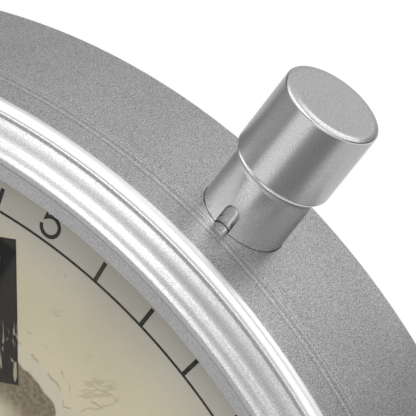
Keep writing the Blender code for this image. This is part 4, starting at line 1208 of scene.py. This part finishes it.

# Floor, world, lamp and camera. Metal mirrors the floor as a painted glow, with a painted dark patch in
# front of the clock.
studio = {
    "floorReach": 6,
    "floorDrop": 2 * mm,
    "floorColour": (0.4, 0.4, 0.4),
    "floorRoughness": 0.7,
    "floorWhite": (0.48, 0.7),  # the floor turns white between these distances from the clock
    # painted reflection: a dark patch of the floor and a fixed near glow that only metal mirrors
    "paintedPatchBack": (-0.16, -0.03),
    "paintedPatchLeft": (-0.12, 0.03),
    "paintedPatchShade": 0.27,
    "mirroredFloor": 0.72,
    "mirroredBackdrop": 0.6,
    "backdrop": (0.5, -0.84, 0.23),  # on the side away from here, metal mirrors a plain shade
    "backdropSpread": (28, 40),
    "level": 0.06,
    "panels": (
        # direction, half width and fade in degrees, strength
        ((-0.42, -0.48, 0.77), 20, 20, 1.1),
        ((-0.1, -0.05, 1), 20, 20, 1),
        ((0.52, -0.57, 0.64), 12, 22, 1.2),
        ((0.6, 0.5, 0.64), 12, 14, 1.2),
        ((0.62, -0.77, 0.08), 12, 22, 0.9),
        ((-0.28, -0.93, 0.22), 10, 22, 0.6),
        ((0.9, -0.12, 0.36), 10, 16, 0.85),
        ((0.16, 0.73, 0.66), 14, 20, 0.63),
        ((-0.93, -0.3, 0.2), 12, 22, 0.3),
    ),
    "lampPlace": (0.4, -0.7, 1.3),
    "lampTarget": (0.05, 0, 0.05),
    "lampSize": 0.8,
    "lampPower": 5,
}


# 1 for rays that come straight from the camera, and 1 for those in metal or through glass
def seenRays(tree):
    ray = addNode(tree, "LightPath").outputs
    return ray["Is Camera Ray"], math(tree, "MAXIMUM", ray["Is Glossy Ray"], ray["Is Transmission Ray"])


def makeFloor():
    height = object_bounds()[0].z - studio["floorDrop"]
    reach = studio["floorReach"]
    mesh = bpy.data.meshes.new("floor")
    corners = [(-reach, -reach), (reach, -reach), (reach, reach), (-reach, reach)]
    mesh.from_pydata([(x, y, height) for x, y in corners], [], [(0, 1, 2, 3)])
    made, tree, shader = newMaterial("paleFloor", studio["floorColour"], studio["floorRoughness"])
    axes = axesOf(tree)
    white = span(tree, measured(tree, "LENGTH", flatOf(tree, axes, "XY")), *studio["floorWhite"])
    straight, mirrored = seenRays(tree)
    seen = math(tree, "MAXIMUM", times(tree, straight, white), mirrored)
    # Painted reflection: mirrored rays see a fixed glow here, darker in a patch in front of the clock
    front = span(tree, axes["Y"], *studio["paintedPatchBack"], 1, 0)
    paintedPatch = times(tree, front, span(tree, axes["X"], *studio["paintedPatchLeft"]))
    near = mixValue(tree, paintedPatch, studio["mirroredFloor"], studio["paintedPatchShade"])
    strength = mixValue(tree, mirrored, 1, mixValue(tree, white, near, 1))
    glow = addNode(tree, "Emission", {"Color": (1, 1, 1, 1), "Strength": strength})
    layered(tree, seen, shader, glow)
    mesh.materials.append(made)
    floor = newObject("floor", mesh)


# A soft round patch of the sky
def around(tree, direction, centre, halfWidth, fade, strength):
    near = measured(tree, "DOT_PRODUCT", direction, Vector(centre).normalized())
    return span(tree, near, cos(radians(halfWidth + fade)), cos(radians(halfWidth)), 0, strength)


def makeWorld():
    world = bpy.data.worlds.new("studio")
    bpy.context.scene.world = world
    world.use_nodes = True
    tree = world.node_tree
    direction = addNode(tree, "TexCoord").outputs["Generated"]
    light = studio["level"]
    for panel in studio["panels"]:
        light = math(tree, "ADD", light, around(tree, direction, *panel))
    straight, mirrored = seenRays(tree)
    behind = around(tree, direction, -Vector(studio["backdrop"]), *studio["backdropSpread"], 1)
    behind = times(tree, mirrored, behind)
    backdrop = mixValue(tree, behind, light, studio["mirroredBackdrop"])
    strength = mixValue(tree, straight, backdrop, 1)
    fill(tree.nodes["Background"], {"Color": (1, 1, 1, 1), "Strength": strength})


def makeLamp():
    lamp = bpy.data.lights.new("overhead", "AREA")
    lamp.shape = "DISK"
    lamp.size = studio["lampSize"]
    lamp.energy = studio["lampPower"]
    made = newObject("overhead", lamp)
    place, target = Vector(studio["lampPlace"]), Vector(studio["lampTarget"])
    made.location = place
    made.rotation_euler = (target - place).to_track_quat("-Z", "Y").to_euler()


# The camera stands to the right of the clock and a little above the button
view = {
    "azimuth": radians(30.8),
    "elevation": radians(13.2),
    "roll": radians(-3),
    "target": (99.9 * mm, 117.4 * mm),
    "distance": 559.8 * mm,
    "lens": 250.7,
    "sensor": 36,
    "clip": (0.01, 50),
}


def makeCamera():
    x, z = view["target"]
    place = Matrix.Translation((x, -case["dialFace"], z))
    turns = (view["azimuth"], "Z"), (pi / 2 - view["elevation"], "X"), (view["roll"], "Z")
    for turn, axis in turns:
        place = place @ Matrix.Rotation(turn, 4, axis)
    optics = bpy.data.cameras.new("camera")
    optics.lens = view["lens"]
    optics.sensor_width = view["sensor"]
    optics.clip_start, optics.clip_end = view["clip"]
    camera = newObject("camera", optics)
    camera.matrix_world = place @ Matrix.Translation((0, 0, view["distance"]))
    bpy.context.scene.camera = camera


makeFloor()
makeWorld()
makeLamp()
makeCamera()
bpy.context.scene.view_settings.view_transform = "Standard"

print("scene ready")
